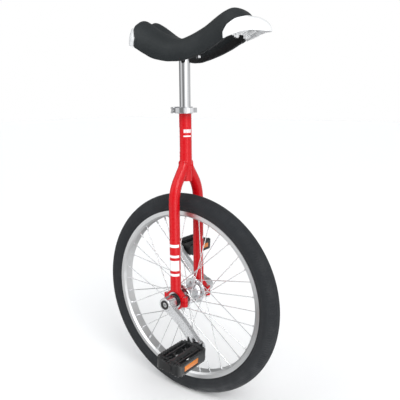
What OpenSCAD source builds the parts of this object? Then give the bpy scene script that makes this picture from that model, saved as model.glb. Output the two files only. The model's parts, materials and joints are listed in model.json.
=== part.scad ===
// Unicycle with a 20 inch wheel, a tubular steel fork and a hollow banana saddle.
// +X points forward, +Y to the rider's left, +Z up. The origin is where the tyre meets the ground.

/* [Wheel] */
// Bead seat radius of the rim
bead_r = 203; // [150:1:260]
// Height of the inflated tyre over the bead seat
tyre_h = 49; // [44:1:60]
// Width of the inflated tyre
tyre_w = 44; // [40:1:56]
// Wall of the tyre at its sides
tyre_wall = 2.5; // [1.5:0.1:3]
// Width of the rim over its flat side walls
rim_w = 31; // [27:0.5:36]
// Thickness of the rim's side walls
rim_wall = 1.6; // [1.2:0.1:2.2]
// Number of spokes, a multiple of four
spoke_n = 36; // [28:4:36]
// Thickness of a spoke
spoke_d = 2; // [1.6:0.1:2.3]
// Angle between a spoke's hub hole and its rim hole
spoke_sweep = 60; // [40:1:64]
// Angle of the valve round the rim from the front
valve_a = 255; // [5:10:355]
// Length of the bare valve stem past its nut
valve_len = 30; // [25:1:40]

/* [Hub] */
// Distance from the wheel's middle plane to the middle of a bearing
bearing_y = 46; // [44:1:60]
// Outer diameter of a bearing
bearing_od = 40; // [36:0.5:48]
// Bore of a bearing and diameter of the axle
axle_d = 17; // [14:0.5:20]
// Width of a bearing
bearing_w = 12; // [11:0.5:14]
// Number of balls in a bearing
ball_n = 8; // [6:1:8]
// Distance from the middle plane to a hub flange
flange_y = 28; // [24:1:30]
// Outer radius of a hub flange
flange_r = 32; // [30:0.5:40]
// Radius of the ring of spoke holes
flange_hole_r = 27.5; // [25:0.5:28]
// Thickness of a hub flange
flange_t = 3.2; // [2.5:0.1:4]
// Radius of the hub's barrel
barrel_r = 17; // [14:0.5:21]

/* [Frame] */
// Outer diameter of the seat tube
seat_tube_d = 28.6; // [28:0.1:34]
// Length of the seat tube
seat_tube_len = 169; // [120:1:260]
// Gap between the tyre and the seat tube
crown_gap = 31; // [24:1:60]
// Outer diameter of a fork leg
leg_d = 25.4; // [20:0.1:28]
// Wall of the frame's tubes
tube_wall = 1.5; // [1.2:0.1:2]
// Steepest lean of a leg where it bends in to the seat tube
leg_lean = 36; // [33:1:42]
// Wall of a bearing holder round the bearing
holder_wall = 5; // [4:0.5:7]
// Width of a bearing holder
holder_w = 14; // [13:0.5:20]
// Height of a bolt ear on each half of a holder
ear_h = 11.5; // [9:0.5:14]
// Diameter of the bolts through the ears
ear_bolt_d = 6; // [5:0.5:7]

/* [Seat post] */
// Outer diameter of the seat post
post_d = 25.4; // [25:0.1:28]
// Height of the post's top inside the hollow saddle
post_sink = 15; // [10:1:16]
// Wall of the seat post
post_wall = 2; // [1.5:0.1:3]
// Length of the post that shows between the clamp and the saddle
post_out = 98; // [85:1:150]
// Length of the post held inside the seat tube
post_in = 112; // [85:1:125]
// Height of the clamp collar
clamp_h = 15; // [12:0.5:20]
// Wall of the clamp collar
clamp_wall = 3.2; // [2.5:0.1:5]
// Diameter of the quick release skewer
skewer_d = 5; // [4:0.5:6]

/* [Cranks and pedals] */
// Crank length from the axle to the pedal
crank_len = 125; // [89:1:170]
// Angle of the right crank below the horizontal, forward
crank_a = 35; // [0:1:90]
// Distance from the middle plane to a crank's outer face at the boss
crank_out = 88.5; // [86:0.5:100]
// Distance from the middle plane to the middle of the pedal eye
pedal_eye_y = 95; // [93:0.5:110]
// Radius of a crank's boss
boss_r = 16; // [15:0.5:20]
// Length of a pedal along its spindle
pedal_len = 98; // [84:1:120]
// Length of a pedal from front to rear
pedal_w = 66; // [64:1:96]
// Thickness of a pedal
pedal_t = 28; // [24:1:32]

/* [Saddle] */
// Thickness of the saddle's cover
cover_t = 2; // [1:0.5:3]
// Thickness of the foam on top
foam_top = 20; // [12:1:24]
// Thickness of the foam at the sides
foam_side = 7; // [4:0.5:8]
// Thickness of the saddle base
base_t = 3; // [2:0.5:4]
// Factor on the saddle's width
saddle_wide = 1; // [0.85:0.05:1.2]

/* [Hidden] */
$fn = 64;

// Clearance of a fit that turns or slides, and of faces that only meet
run_gap = 0.06;
face_gap = 0.05;
big = 400;

tyre_r = bead_r + tyre_h;
axle_z = tyre_r;

// Rim and tyre sections, as offsets from the bead seat
rim_lip = 8.5;
rim_bed = 2.7;
rim_under = 5;
rim_seat_in = 3.4;
tread_wall = 4;
tyre_a = 23.4;
tyre_c = tyre_r - tyre_a;
tyre_turn = 122;
bead_t = 3;
tube_r = min(tyre_a - tread_wall, tyre_w / 2 - tyre_wall) - 0.8;

// Valve: a bare stem, then a thicker foot that passes through the nut, the rim and into the tube
valve_r = 3.85;
valve_base_r = 4.15;
valve_in = 3;
valve_nut_r = 6.8;
valve_nut_h = 2.5;
valve_nut_gap = 0.2;
valve_tip = bead_r - rim_under - valve_nut_gap - valve_nut_h - 0.5 - valve_len;

// Spokes
side_n = spoke_n / 2;
flange_step = 360 / side_n;
elbow_in = flange_t / 2 + spoke_d / 2 + face_gap;
elbow_out = elbow_in + 1.5;
rim_stagger = 1.5;
nipple_r = bead_r - rim_bed + 1;
nipple_len = 12;
nipple_d = 4;

// Bearings
ball_d = 6.747;
ball_pitch_r = (bearing_od + axle_d) / 4;
race_lip = 1.95;
outer_lip_r = ball_pitch_r + race_lip;
inner_lip_r = ball_pitch_r - race_lip;
groove_r = ball_d / 2 + run_gap;
hub_half = 34;
hub_hole_d = 5;
collar_y = 59;

// Frame
tube_bot = 2 * tyre_r + crown_gap;
tube_top = tube_bot + seat_tube_len;
tube_r_out = seat_tube_d / 2;
leg_r = leg_d / 2;
leg_in_y = 0.5;
leg_join = 52;
low_bend = 88;
high_bend = 90;
tip_lean = 16;
bend_n = 7;
leg_sides = 32;
tip_z = tube_bot + leg_join;
lean_drop = low_bend * (1 - cos(leg_lean)) + high_bend * (cos(tip_lean) - cos(leg_lean));
lean_len = (bearing_y - leg_in_y - lean_drop) / sin(leg_lean);
bend_rise = (low_bend + high_bend) * sin(leg_lean) - high_bend * sin(tip_lean);
bend_z = tip_z - bend_rise - lean_len * cos(leg_lean);
holder_r = bearing_od / 2 + holder_wall;
ear_r = 7;
ear_x = bearing_od / 2 + ear_r;
split_gap = 1;

// Clamp, with the skewer behind the seat tube and the lever on the right
clamp_z = tube_top - clamp_h + 2.5;
clamp_mid = clamp_z + clamp_h / 2;
clamp_r = tube_r_out + clamp_wall;
skewer_x = -(clamp_r + skewer_d / 2 + 1);
clamp_slot = 3;
ear_out = 9;
washer_r = 5.8;
nut_r = 5.9;
washer_t = 2;
cam_r = 6;
cam_lift = 1;
cam_y = -(ear_out + washer_t + cam_r + cam_lift + face_gap);
cam_h = 14;
eye_h = 4.6;
lever_r = norm([skewer_x, cam_y]);
lever_t = 4;
lever_start = atan2(cam_y, skewer_x) + 360;
lever_end = 372;
pin_d = 4;

// Seat post and saddle mounting
saddle_z = clamp_z + clamp_h + post_out;
post_top = saddle_z + post_sink;
post_bot = tube_top - post_in;
plate_t = 4;
plate_l = 74;
plate_w = 50;
bolt_x = 27;
bolt_y = 17;
mount_bolt_d = 6;

// Cranks
taper_in = 12.4;
taper_out = 13.4;
taper_len = 22;
axle_end = crank_out - 9;
boss_len = 25.5;
eye_r = 14;
eye_t = 13;
arm_in = 13;
cap_r = 11.2;
cap_depth = 8;
pedal_thread_d = 14.28;
pedal_x = crank_len * cos(crank_a);
pedal_z = axle_z - crank_len * sin(crank_a);

// Pedals, measured outward along the spindle from the middle of the eye
body_in = 12;
body_out = body_in + pedal_len;
pedal_tilt = -4;
rail_t = 6;
barrel_out_r = 11;
spindle_r = 6;
cup_r = 9;
cup_len = 7;
teeth_n = 9;
tooth_h = 1.5;
reflector_l = 46;
reflector_z = body_in + pedal_len / 2 + 8;
reflector_h = 12;
reflector_t = 3;

// Saddle outline, rear to front: [x, value], with heights over the lowest edge of the saddle
saddle_top = [[-129, 58], [-125, 74], [-118, 86], [-108, 94], [-98, 97], [-82, 90], [-59, 76], [-38, 64],
    [-16, 55], [5, 52], [23, 56], [44, 63], [72, 75], [100, 91], [119, 100], [138, 104], [158, 96], [171, 83],
    [194, 76], [209, 66], [216, 56]];
saddle_edge = [[-129, 43], [-117, 41], [-104, 38], [-90, 32.5], [-64, 18.5], [-43, 8], [-14, 1.5], [0, 0.5],
    [25, 1.5], [65, 10.5], [100, 23], [120, 33], [138, 41], [155, 46], [170, 50], [190, 53], [216, 51]];
saddle_half = [[-129, 22], [-125, 38], [-117, 51], [-106, 60], [-92, 66], [-72, 67], [-50, 64], [-30, 59],
    [0, 51], [25, 44], [65, 40.5], [100, 42], [130, 44], [150, 44], [170, 39], [190, 29], [205, 18], [216, 6]];
// Side view of the parting lines between the cover and its two end mouldings
handle_line = [[137, 20], [134, 52], [143, 66], [158, 76], [180, 84], [260, 84], [260, 0], [137, 0]];
bumper_line = [[-96, 20], [-95, 36], [-91, 53], [-97, 67], [-106, 78], [-150, 84], [-150, 0], [-96, 0]];
// Where each layer of the saddle starts and stops
cover_x = [-125, 175];
foam_x = [-115, 165];
handle_x = [130, 213];
bumper_x = [-127, -84];
// Depths from the saddle's skin to each layer under it
foam_s = cover_t;
base_s = cover_t + foam_side;
base_top = cover_t + foam_top;
// Screws that hold the front handle up to the base, with their bosses
screw_x = 150;
screw_y = 18;
screw_d = 4;
boss_low = 44;
boss_high = 64;
web_low = 51;
moulding_t = 4;
part_gap = 0.4;
layer_gap = 0.6;
section_n = 12;
station = 10;
fullness = 2.5;

// Smooth curve through points of [x, value]
function span_at(p, x, i = 0) = i >= len(p) - 2 || x < p[i + 1][0] ? i : span_at(p, x, i + 1);
function slope_at(p, i) =
    let (a = max(i - 1, 0), b = min(i + 1, len(p) - 1))
    (p[b][1] - p[a][1]) / (p[b][0] - p[a][0]);
function smooth(p, x) =
    let (i = span_at(p, x), h = p[i + 1][0] - p[i][0], t = (x - p[i][0]) / h)
    (2 * t^3 - 3 * t^2 + 1) * p[i][1] + (t^3 - 2 * t^2 + t) * h * slope_at(p, i)
    + (3 * t^2 - 2 * t^3) * p[i + 1][1] + (t^3 - t^2) * h * slope_at(p, i + 1);

// Arch of the saddle at x, set in from its outer skin by side and top
function arch(x, side, top) =
    let (w = saddle_wide * smooth(saddle_half, x) - side, e = smooth(saddle_edge, x),
        h = smooth(saddle_top, x) - e - top)
    [for (i = [0 : section_n])
        let (a = 180 * i / section_n, c = cos(a), s = sin(a))
        [x, w * sign(c) * pow(abs(c), 2 / fullness), saddle_z + e + h * pow(max(s, 0), 2 / fullness)]];

// Closed shell between two arches, carried from x0 to x1
module arch_shell(x0, x1, side, top, side_t, top_t) {
    steps = ceil((x1 - x0) / station);
    ring = 2 * (section_n + 1);
    rings = [for (k = [0 : steps])
        let (x = x0 + (x1 - x0) * k / steps, inner = arch(x, side + side_t, top + top_t))
        concat(arch(x, side, top), [for (i = [section_n : -1 : 0]) inner[i]])];
    sides = [for (k = [0 : steps - 1], i = [0 : ring - 1])
        let (j = (i + 1) % ring, a = k * ring)
        each [[a + i, a + ring + i, a + j], [a + j, a + ring + i, a + ring + j]]];
    start = [for (i = [0 : section_n - 1]) each
        [[i, i + 1, ring - 1 - i], [i + 1, ring - 2 - i, ring - 1 - i]]];
    end = [for (f = start) [for (i = [2 : -1 : 0]) f[i] + steps * ring]];
    polyhedron([for (r = rings) each r], concat(sides, start, end));
}

// Parting block seen from the side, grown by a gap
module parting(line) {
    translate([0, big / 2, saddle_z])
        rotate([90, 0, 0])
            linear_extrude(big)
                polygon(line);
}

// Local +Z runs along the axle towards the rider's left
module on_axle(y = 0) {
    translate([0, y, axle_z])
        rotate([-90, 0, 0])
            children();
}

// Both ends of the axle
module each_side() {
    for (s = [-1, 1])
        on_axle(s * bearing_y)
            children();
}

// Turns what is drawn for the right side into its partner on the left
module to_left() {
    mirror([0, 1, 0])
        children();
}

// The left crank and pedal are also half a turn on from the right ones
module crank_to_left() {
    translate([0, 0, axle_z])
        rotate([0, 180, 0])
            mirror([0, 1, 0])
                translate([0, 0, -axle_z])
                    children();
}

module ring(r_out, r_in, h) {
    difference() {
        cylinder(r = r_out, h = h, center = true);
        cylinder(r = r_in, h = h + 1, center = true);
    }
}

// Frame

module seat_tube() {
    color("crimson")
        difference() {
            translate([0, 0, tube_bot])
                cylinder(d = seat_tube_d, h = seat_tube_len);
            translate([0, 0, tube_bot - 1])
                cylinder(d = post_d + 2 * run_gap, h = seat_tube_len + 2);
            translate([-tube_r_out, 0, tube_top])
                cube([seat_tube_d, clamp_slot, 60], center = true);
        }
}

// Stations of [y, z, lean] along a leg's centre line: straight up, bent in, straight, bent back
function bend_in(a) =
    [bearing_y - low_bend * (1 - cos(a)), bend_z + low_bend * sin(a), a];
function bend_back(a) =
    [leg_in_y + high_bend * (cos(tip_lean) - cos(a)), tip_z - high_bend * (sin(a) - sin(tip_lean)), a];
leg_line = concat([[bearing_y, axle_z, 0]],
    [for (k = [0 : bend_n]) bend_in(leg_lean * k / bend_n)],
    [for (k = [0 : bend_n]) bend_back(leg_lean + (tip_lean - leg_lean) * k / bend_n)]);

// Ring of points round one station
function leg_ring(p, r) =
    [for (i = [0 : leg_sides - 1])
        let (a = 360 * i / leg_sides)
        [r * cos(a), p[0] + r * sin(a) * cos(p[2]), p[1] + r * sin(a) * sin(p[2])]];

module fork_leg_left() {
    n = leg_sides;
    last = len(leg_line) - 1;
    skins = [for (r = [leg_r, leg_r - tube_wall]) each [for (p = leg_line) each leg_ring(p, r)]];
    inner = (last + 1) * n;
    quad = function (a, b, c, d) [[a, b, c], [a, c, d]];
    walls = [for (k = [0 : last - 1], i = [0 : n - 1])
        let (j = (i + 1) % n, a = k * n, b = a + n)
        each concat(quad(a + i, b + i, b + j, a + j),
            quad(inner + a + i, inner + a + j, inner + b + j, inner + b + i))];
    ends = [for (i = [0 : n - 1])
        let (j = (i + 1) % n, a = last * n)
        each concat(quad(i, j, inner + j, inner + i),
            quad(a + i, inner + a + i, inner + a + j, a + j))];
    color("crimson")
        difference() {
            polyhedron(skins, concat(walls, ends));
            translate([0, 0, tube_bot - 20])
                cylinder(d = seat_tube_d, h = 2 * leg_join);
            on_axle(bearing_y)
                cylinder(r = holder_r, h = 2 * leg_d, center = true);
        }
}

module fork_leg_right() {
    to_left()
        fork_leg_left();
}

// Round-ended bolt ears in front of and behind the left bearing
module ears(z, h) {
    for (x = [-1, 1])
        translate([0, bearing_y, z]) {
            translate([x * ear_x, 0, 0])
                cylinder(r = ear_r, h = h);
            translate([x * ear_x / 2, 0, h / 2])
                cube([ear_x, 2 * ear_r, h], center = true);
        }
}

module ear_holes(d) {
    for (x = [-1, 1])
        translate([x * ear_x, bearing_y, axle_z - 30])
            cylinder(d = d, h = 60);
}

module bearing_holder_left() {
    color("crimson")
        difference() {
            union() {
                on_axle(bearing_y)
                    cylinder(r = holder_r, h = holder_w, center = true);
                ears(axle_z, ear_h);
            }
            on_axle(bearing_y)
                cylinder(d = bearing_od, h = holder_w + 2, center = true);
            translate([-big / 2, 0, axle_z - big + split_gap / 2])
                cube([big, big, big]);
            ear_holes(ear_bolt_d + 2 * face_gap);
        }
}

module bearing_holder_right() {
    to_left()
        bearing_holder_left();
}

module bearing_cap_left() {
    color("crimson")
        difference() {
            union() {
                on_axle(bearing_y)
                    cylinder(r = holder_r, h = holder_w, center = true);
                ears(axle_z - ear_h, ear_h);
            }
            on_axle(bearing_y)
                cylinder(d = bearing_od, h = holder_w + 2, center = true);
            translate([-big / 2, 0, axle_z - split_gap / 2])
                cube([big, big, big]);
            ear_holes(ear_bolt_d + 0.6);
        }
}

module bearing_cap_right() {
    to_left()
        bearing_cap_left();
}

// Cap screws from below, with a hexagon socket in the head
module cap_bolts() {
    head_h = ear_bolt_d * 0.9;
    color("silver")
        for (x = [-1, 1], y = [-1, 1])
            translate([x * ear_x, y * bearing_y, axle_z - ear_h])
                difference() {
                    union() {
                        translate([0, 0, -head_h])
                            cylinder(d = ear_bolt_d * 1.6, h = head_h);
                        translate([0, 0, -face_gap])
                            cylinder(d = ear_bolt_d, h = 2 * ear_h + 1);
                    }
                    translate([0, 0, -head_h - 1])
                        cylinder(d = ear_bolt_d * 0.95, h = head_h * 0.7 + 1, $fn = 6);
                }
}

// Bearings

module outer_races() {
    color("silver")
        each_side()
            difference() {
                ring(bearing_od / 2, outer_lip_r, bearing_w);
                rotate_extrude()
                    translate([ball_pitch_r, 0])
                        circle(groove_r);
            }
}

module inner_races() {
    color("silver")
        each_side()
            difference() {
                ring(inner_lip_r, axle_d / 2, bearing_w);
                rotate_extrude()
                    translate([ball_pitch_r, 0])
                        circle(groove_r);
            }
}

module bearing_seals() {
    seal_t = 0.8;
    color("black")
        each_side()
            for (s = [-1, 1])
                translate([0, 0, s * (bearing_w - seal_t - 0.4) / 2])
                    ring(outer_lip_r, inner_lip_r + 0.35, seal_t);
}

module ball_places() {
    for (i = [0 : ball_n - 1])
        rotate([0, 0, i * 360 / ball_n])
            translate([ball_pitch_r, 0, 0])
                children();
}

module bearing_balls_left() {
    color("silver")
        on_axle(bearing_y)
            ball_places()
                sphere(d = ball_d);
}

module bearing_balls_right() {
    to_left()
        bearing_balls_left();
}

module bearing_cage_left() {
    cage_half = 1;
    color("goldenrod")
        on_axle(bearing_y)
            difference() {
                ring(ball_pitch_r + cage_half, ball_pitch_r - cage_half, ball_d + 1.6);
                ball_places()
                    rotate([0, 90, 0])
                        cylinder(d = ball_d + 2 * face_gap, h = 4 * cage_half, center = true);
            }
}

module bearing_cage_right() {
    to_left()
        bearing_cage_left();
}

// Hub

module axle() {
    color("gray")
        on_axle()
            difference() {
                union() {
                    cylinder(d = axle_d, h = 2 * collar_y, center = true);
                    for (s = [0, 1])
                        mirror([0, 0, s])
                            translate([0, 0, collar_y])
                                rotate([0, 0, 45])
                                    cylinder(d1 = taper_out * sqrt(2), d2 = taper_in * sqrt(2),
                                        h = axle_end - collar_y, $fn = 4);
                }
                for (s = [0, 1])
                    mirror([0, 0, s])
                        translate([0, 0, axle_end - taper_len])
                            cylinder(d = 8, h = taper_len + 1);
            }
}

module hub_shell() {
    hole_n = side_n / 2;
    face = flange_y - flange_t / 2;
    back = flange_y + flange_t / 2;
    flat_r = flange_hole_r - 3.2;
    color("silver")
        on_axle()
            difference() {
                rotate_extrude()
                    polygon([[axle_d / 2, -hub_half], [axle_d / 2 + 5.5, -hub_half],
                        [barrel_r + 3, -back - 1], [flat_r, -back],
                        [flange_r - 1, -back], [flange_r, -back + 1], [flange_r, -face - 1], [flange_r - 1, -face],
                        [flat_r, -face], [barrel_r + 3, 1 - face], [barrel_r, 5 - face],
                        [barrel_r, face - 5], [barrel_r + 3, face - 1], [flat_r, face],
                        [flange_r - 1, face], [flange_r, face + 1], [flange_r, back - 1], [flange_r - 1, back],
                        [flat_r, back], [barrel_r + 3, back + 1],
                        [axle_d / 2 + 5.5, hub_half], [axle_d / 2, hub_half]]);
                for (i = [0 : hole_n - 1])
                    rotate([0, 0, 360 / hole_n * i])
                        translate([(barrel_r + flange_hole_r) / 2 + 0.2, 0, 0])
                            for (s = [-1, 1])
                                translate([0, 0, s * flange_y])
                                    cylinder(d = hub_hole_d, h = 4 * flange_t, center = true);
                for (i = [0 : side_n - 1], s = [0, 1])
                    rotate([0, 0, flange_step * (i + s / 2)])
                        translate([flange_hole_r, 0, s == 1 ? -flange_y : flange_y])
                            cylinder(d = 1.04 * spoke_d + 2 * face_gap, h = flange_t + 4, center = true);
            }
}

module bearing_spacers() {
    len = bearing_y - bearing_w / 2 - hub_half - 2 * face_gap;
    color("dimgray")
        for (s = [-1, 1])
            on_axle(s * (hub_half + face_gap + len / 2))
                ring(axle_d / 2 + 3.2, axle_d / 2, len);
}

module axle_collars() {
    inner = bearing_y + bearing_w / 2 + face_gap;
    color("black")
        for (s = [-1, 1])
            on_axle(s * (inner + collar_y - face_gap) / 2)
                ring(axle_d / 2 + 2.8, axle_d / 2, collar_y - inner - face_gap);
}

// Wheel

// Ends of spoke i, as points in the axle's own frame
function spoke_side(i) = i % 2 == 0 ? 1 : -1;
function spoke_lead(i) = floor(i / 2) % 2 == 0 ? 1 : -1;
function hub_angle(i) = flange_step * (floor(i / 2) + (i % 2) / 2);
function rim_angle(i) = hub_angle(i) + spoke_lead(i) * spoke_sweep;
function elbow_at(i) = spoke_lead(i) > 0 ? elbow_out : elbow_in;
function hub_point(i) =
    [flange_hole_r * cos(hub_angle(i)), flange_hole_r * sin(hub_angle(i)),
        spoke_side(i) * (flange_y + spoke_lead(i) * elbow_at(i))];
function rim_point(i) =
    [nipple_r * cos(rim_angle(i)), nipple_r * sin(rim_angle(i)), spoke_side(i) * rim_stagger];

// Local +Z runs from the hub end of spoke i, and the children start at its rim end
module at_rim_end(i) {
    d = rim_point(i) - hub_point(i);
    on_axle()
        translate(rim_point(i))
            rotate([0, acos(d[2] / norm(d)), atan2(d[1], d[0])])
                children();
}

module spokes() {
    thread_in = 1;
    head_t = 1;
    head_d = 1.9 * spoke_d;
    elbow_d = 1.04 * spoke_d;
    color("silver")
        for (i = [0 : spoke_n - 1]) {
            length = norm(rim_point(i) - hub_point(i));
            through = elbow_at(i) + flange_t / 2 + face_gap;
            at_rim_end(i)
                translate([0, 0, -length])
                    cylinder(d = spoke_d, h = length - thread_in);
            on_axle()
                translate(hub_point(i))
                    rotate([spoke_side(i) * spoke_lead(i) > 0 ? 180 : 0, 0, 0]) {
                        translate([0, 0, -elbow_d / 2])
                            cylinder(d = elbow_d, h = through + elbow_d / 2);
                        translate([0, 0, through])
                            cylinder(d = head_d, h = head_t);
                    }
        }
}

module nipples() {
    color("silver")
        for (i = [0 : spoke_n - 1])
            at_rim_end(i)
                difference() {
                    union() {
                        cylinder(d = nipple_d * 1.5, h = 2);
                        translate([0, 0, -nipple_len])
                            cylinder(d = nipple_d, h = nipple_len);
                    }
                    translate([0, 0, -nipple_len - 1])
                        cylinder(d = spoke_d + 2 * face_gap, h = nipple_len + 4);
                }
}

module at_valve() {
    on_axle()
        rotate([0, 0, valve_a])
            rotate([0, 90, 0])
                children();
}

module rim() {
    w = rim_w / 2;
    color("silver")
        difference() {
            on_axle()
                rotate_extrude($fn = 128)
                    polygon([[bead_r - rim_under, -w + 4.5], [bead_r - 1, -w],
                        [bead_r + rim_lip, -w], [bead_r + rim_lip, -w + rim_wall],
                        [bead_r, -w + rim_wall], [bead_r, -w + rim_wall + rim_seat_in],
                        [bead_r - rim_bed, -w + rim_wall + rim_seat_in + 1.5],
                        [bead_r - rim_bed, w - rim_wall - rim_seat_in - 1.5],
                        [bead_r, w - rim_wall - rim_seat_in], [bead_r, w - rim_wall],
                        [bead_r + rim_lip, w - rim_wall], [bead_r + rim_lip, w],
                        [bead_r - 1, w], [bead_r - rim_under, w - 4.5]]);
            for (i = [0 : spoke_n - 1])
                at_rim_end(i)
                    translate([0, 0, -8])
                        cylinder(d = nipple_d + 2 * face_gap, h = 12);
            at_valve()
                translate([0, 0, bead_r - 15])
                    cylinder(r = valve_base_r + 0.3, h = 30);
        }
}

module rim_tape() {
    tape_r = bead_r + 1;
    tape_t = 0.6;
    color("dimgray")
        difference() {
            on_axle()
                difference() {
                    cylinder(r = tape_r + tape_t, h = rim_w - 2 * (rim_wall + bead_t + 0.4), center = true);
                    cylinder(r = tape_r, h = rim_w, center = true);
                }
            at_valve()
                translate([0, 0, bead_r - 5])
                    cylinder(r = valve_base_r + 0.3, h = 12);
        }
}

module inner_tube() {
    tube_skin = 1;
    color("black")
        difference() {
            on_axle()
                rotate_extrude($fn = 128)
                    translate([tyre_c, 0])
                        difference() {
                            circle(tube_r);
                            circle(tube_r - tube_skin);
                        }
            at_valve()
                translate([0, 0, tyre_c - tube_r - 5])
                    cylinder(r = valve_base_r + face_gap, h = tube_r);
        }
}

module valve_stem() {
    root = tyre_c - tube_r + valve_in;
    color("dimgray")
        at_valve()
            difference() {
                union() {
                    translate([0, 0, valve_tip])
                        cylinder(r = valve_r, h = valve_len + 1);
                    translate([0, 0, valve_tip + valve_len])
                        cylinder(r = valve_base_r, h = root - valve_tip - valve_len);
                }
                translate([0, 0, valve_tip - 1])
                    cylinder(r = 2.4, h = 9);
                translate([0, 0, valve_tip - 1])
                    cylinder(r = 1, h = big / 4);
            }
}

module valve_nut() {
    color("silver")
        at_valve()
            translate([0, 0, bead_r - rim_under - valve_nut_h - valve_nut_gap])
                difference() {
                    cylinder(r = valve_nut_r, h = valve_nut_h, $fn = 6);
                    translate([0, 0, -1])
                        cylinder(r = valve_base_r + face_gap, h = valve_nut_h + 2);
                }
}

module tyre() {
    w = rim_w / 2 - rim_wall - 0.1;
    half = tyre_w / 2;
    arc_n = 22;
    outer = [for (i = [0 : arc_n])
        let (a = tyre_turn * (1 - 2 * i / arc_n))
        [tyre_c + tyre_a * cos(a), half * sin(a)]];
    inner = [for (i = [0 : arc_n])
        let (a = tyre_turn * (2 * i / arc_n - 1))
        [tyre_c + (tyre_a - tread_wall) * cos(a), (half - tyre_wall) * sin(a)]];
    color("darkslategray")
        on_axle()
            rotate_extrude($fn = 128)
                polygon(concat(outer,
                    [[bead_r + rim_lip, -w], [bead_r + 0.1, -w], [bead_r + 0.1, -w + bead_t],
                        [bead_r + 5, -w + bead_t]],
                    inner,
                    [[bead_r + 5, w - bead_t], [bead_r + 0.1, w - bead_t], [bead_r + 0.1, w],
                        [bead_r + rim_lip, w]]));
}

// Cranks. Local +X runs along the arm and local +Z outward, from the middle plane

module at_right_crank() {
    translate([0, 0, axle_z])
        rotate([90, 0, 0])
            rotate([0, 0, -crank_a])
                children();
}

module crank_right() {
    back = crank_out - boss_len;
    eye_back = pedal_eye_y - eye_t / 2;
    color("silver")
        at_right_crank()
            difference() {
                union() {
                    translate([0, 0, back])
                        cylinder(r = boss_r, h = boss_len - 1);
                    translate([0, 0, crank_out - 1])
                        cylinder(r1 = boss_r, r2 = boss_r - 1, h = 1);
                    hull() {
                        translate([0, 0, crank_out - arm_in - 1])
                            cylinder(r = boss_r - 3.5, h = arm_in, $fn = 32);
                        translate([crank_len * 0.45, 0, crank_out - arm_in + 1])
                            cylinder(r = boss_r - 5, h = arm_in - 2, $fn = 32);
                    }
                    hull() {
                        translate([crank_len * 0.45, 0, crank_out - arm_in + 1])
                            cylinder(r = boss_r - 5, h = arm_in - 2, $fn = 32);
                        translate([crank_len, 0, eye_back + 1])
                            cylinder(r = eye_r - 2, h = eye_t - 2, $fn = 32);
                    }
                    translate([crank_len, 0, eye_back])
                        cylinder(r = eye_r, h = eye_t);
                }
                translate([0, 0, collar_y])
                    rotate([0, 0, 45 + crank_a])
                        cylinder(d1 = (taper_out + 2 * face_gap) * sqrt(2),
                            d2 = (taper_in + 2 * face_gap) * sqrt(2), h = axle_end - collar_y, $fn = 4);
                translate([0, 0, axle_end - 1])
                    cylinder(d = 9, h = boss_len);
                translate([0, 0, crank_out - cap_depth])
                    cylinder(r = cap_r, h = cap_depth + 1);
                translate([crank_len, 0, eye_back - 1])
                    cylinder(d = pedal_thread_d + 2 * face_gap, h = eye_t + 2);
            }
}

module crank_left() {
    crank_to_left()
        crank_right();
}

module each_crank() {
    children();
    crank_to_left()
        children();
}

module crank_bolts() {
    head_r = 5.8;
    seat = crank_out - cap_depth + face_gap;
    color("silver")
        each_crank()
            at_right_crank()
                difference() {
                    union() {
                        translate([0, 0, seat])
                            cylinder(r = head_r, h = cap_depth - 1);
                        translate([0, 0, seat - 16])
                            cylinder(d = 8 - 2 * face_gap, h = 17);
                    }
                    translate([0, 0, crank_out - 6])
                        cylinder(r = 3.4, h = 7, $fn = 6);
                }
}

module dust_caps() {
    color("black")
        each_crank()
            at_right_crank()
                translate([0, 0, crank_out - 1.5])
                    ring(cap_r - face_gap, 6.1, 4);
}

// Pedals. Local +Z runs outward along the spindle, from the middle of the eye

module at_right_pedal(tilt = 0) {
    translate([pedal_x, -pedal_eye_y, pedal_z])
        rotate([90, 0, 0])
            rotate([0, 0, tilt])
                children();
}

module pedal_spindle_right() {
    color("gray")
        at_right_pedal()
            difference() {
                union() {
                    translate([0, 0, -eye_t / 2])
                        cylinder(d = pedal_thread_d, h = eye_t);
                    translate([0, 0, eye_t / 2 + face_gap])
                        cylinder(d = 18, h = 3);
                    cylinder(r = spindle_r, h = body_out - 12);
                }
                for (s = [0, 1])
                    mirror([s, 0, 0])
                        translate([7.5, -10, eye_t / 2 - 1])
                            cube([5, 20, 5]);
                translate([0, 0, -eye_t / 2 - 1])
                    cylinder(d = 6, h = 7, $fn = 6);
            }
}

module pedal_spindle_left() {
    crank_to_left()
        pedal_spindle_right();
}

// Serrated edge of a pedal rail
module teeth(len) {
    pitch = len / teeth_n;
    for (i = [0 : teeth_n - 1])
        translate([0, 0, pitch * (i + 0.5)])
            cube([rail_t, 2 * tooth_h, pitch * 0.55], center = true);
}

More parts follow.
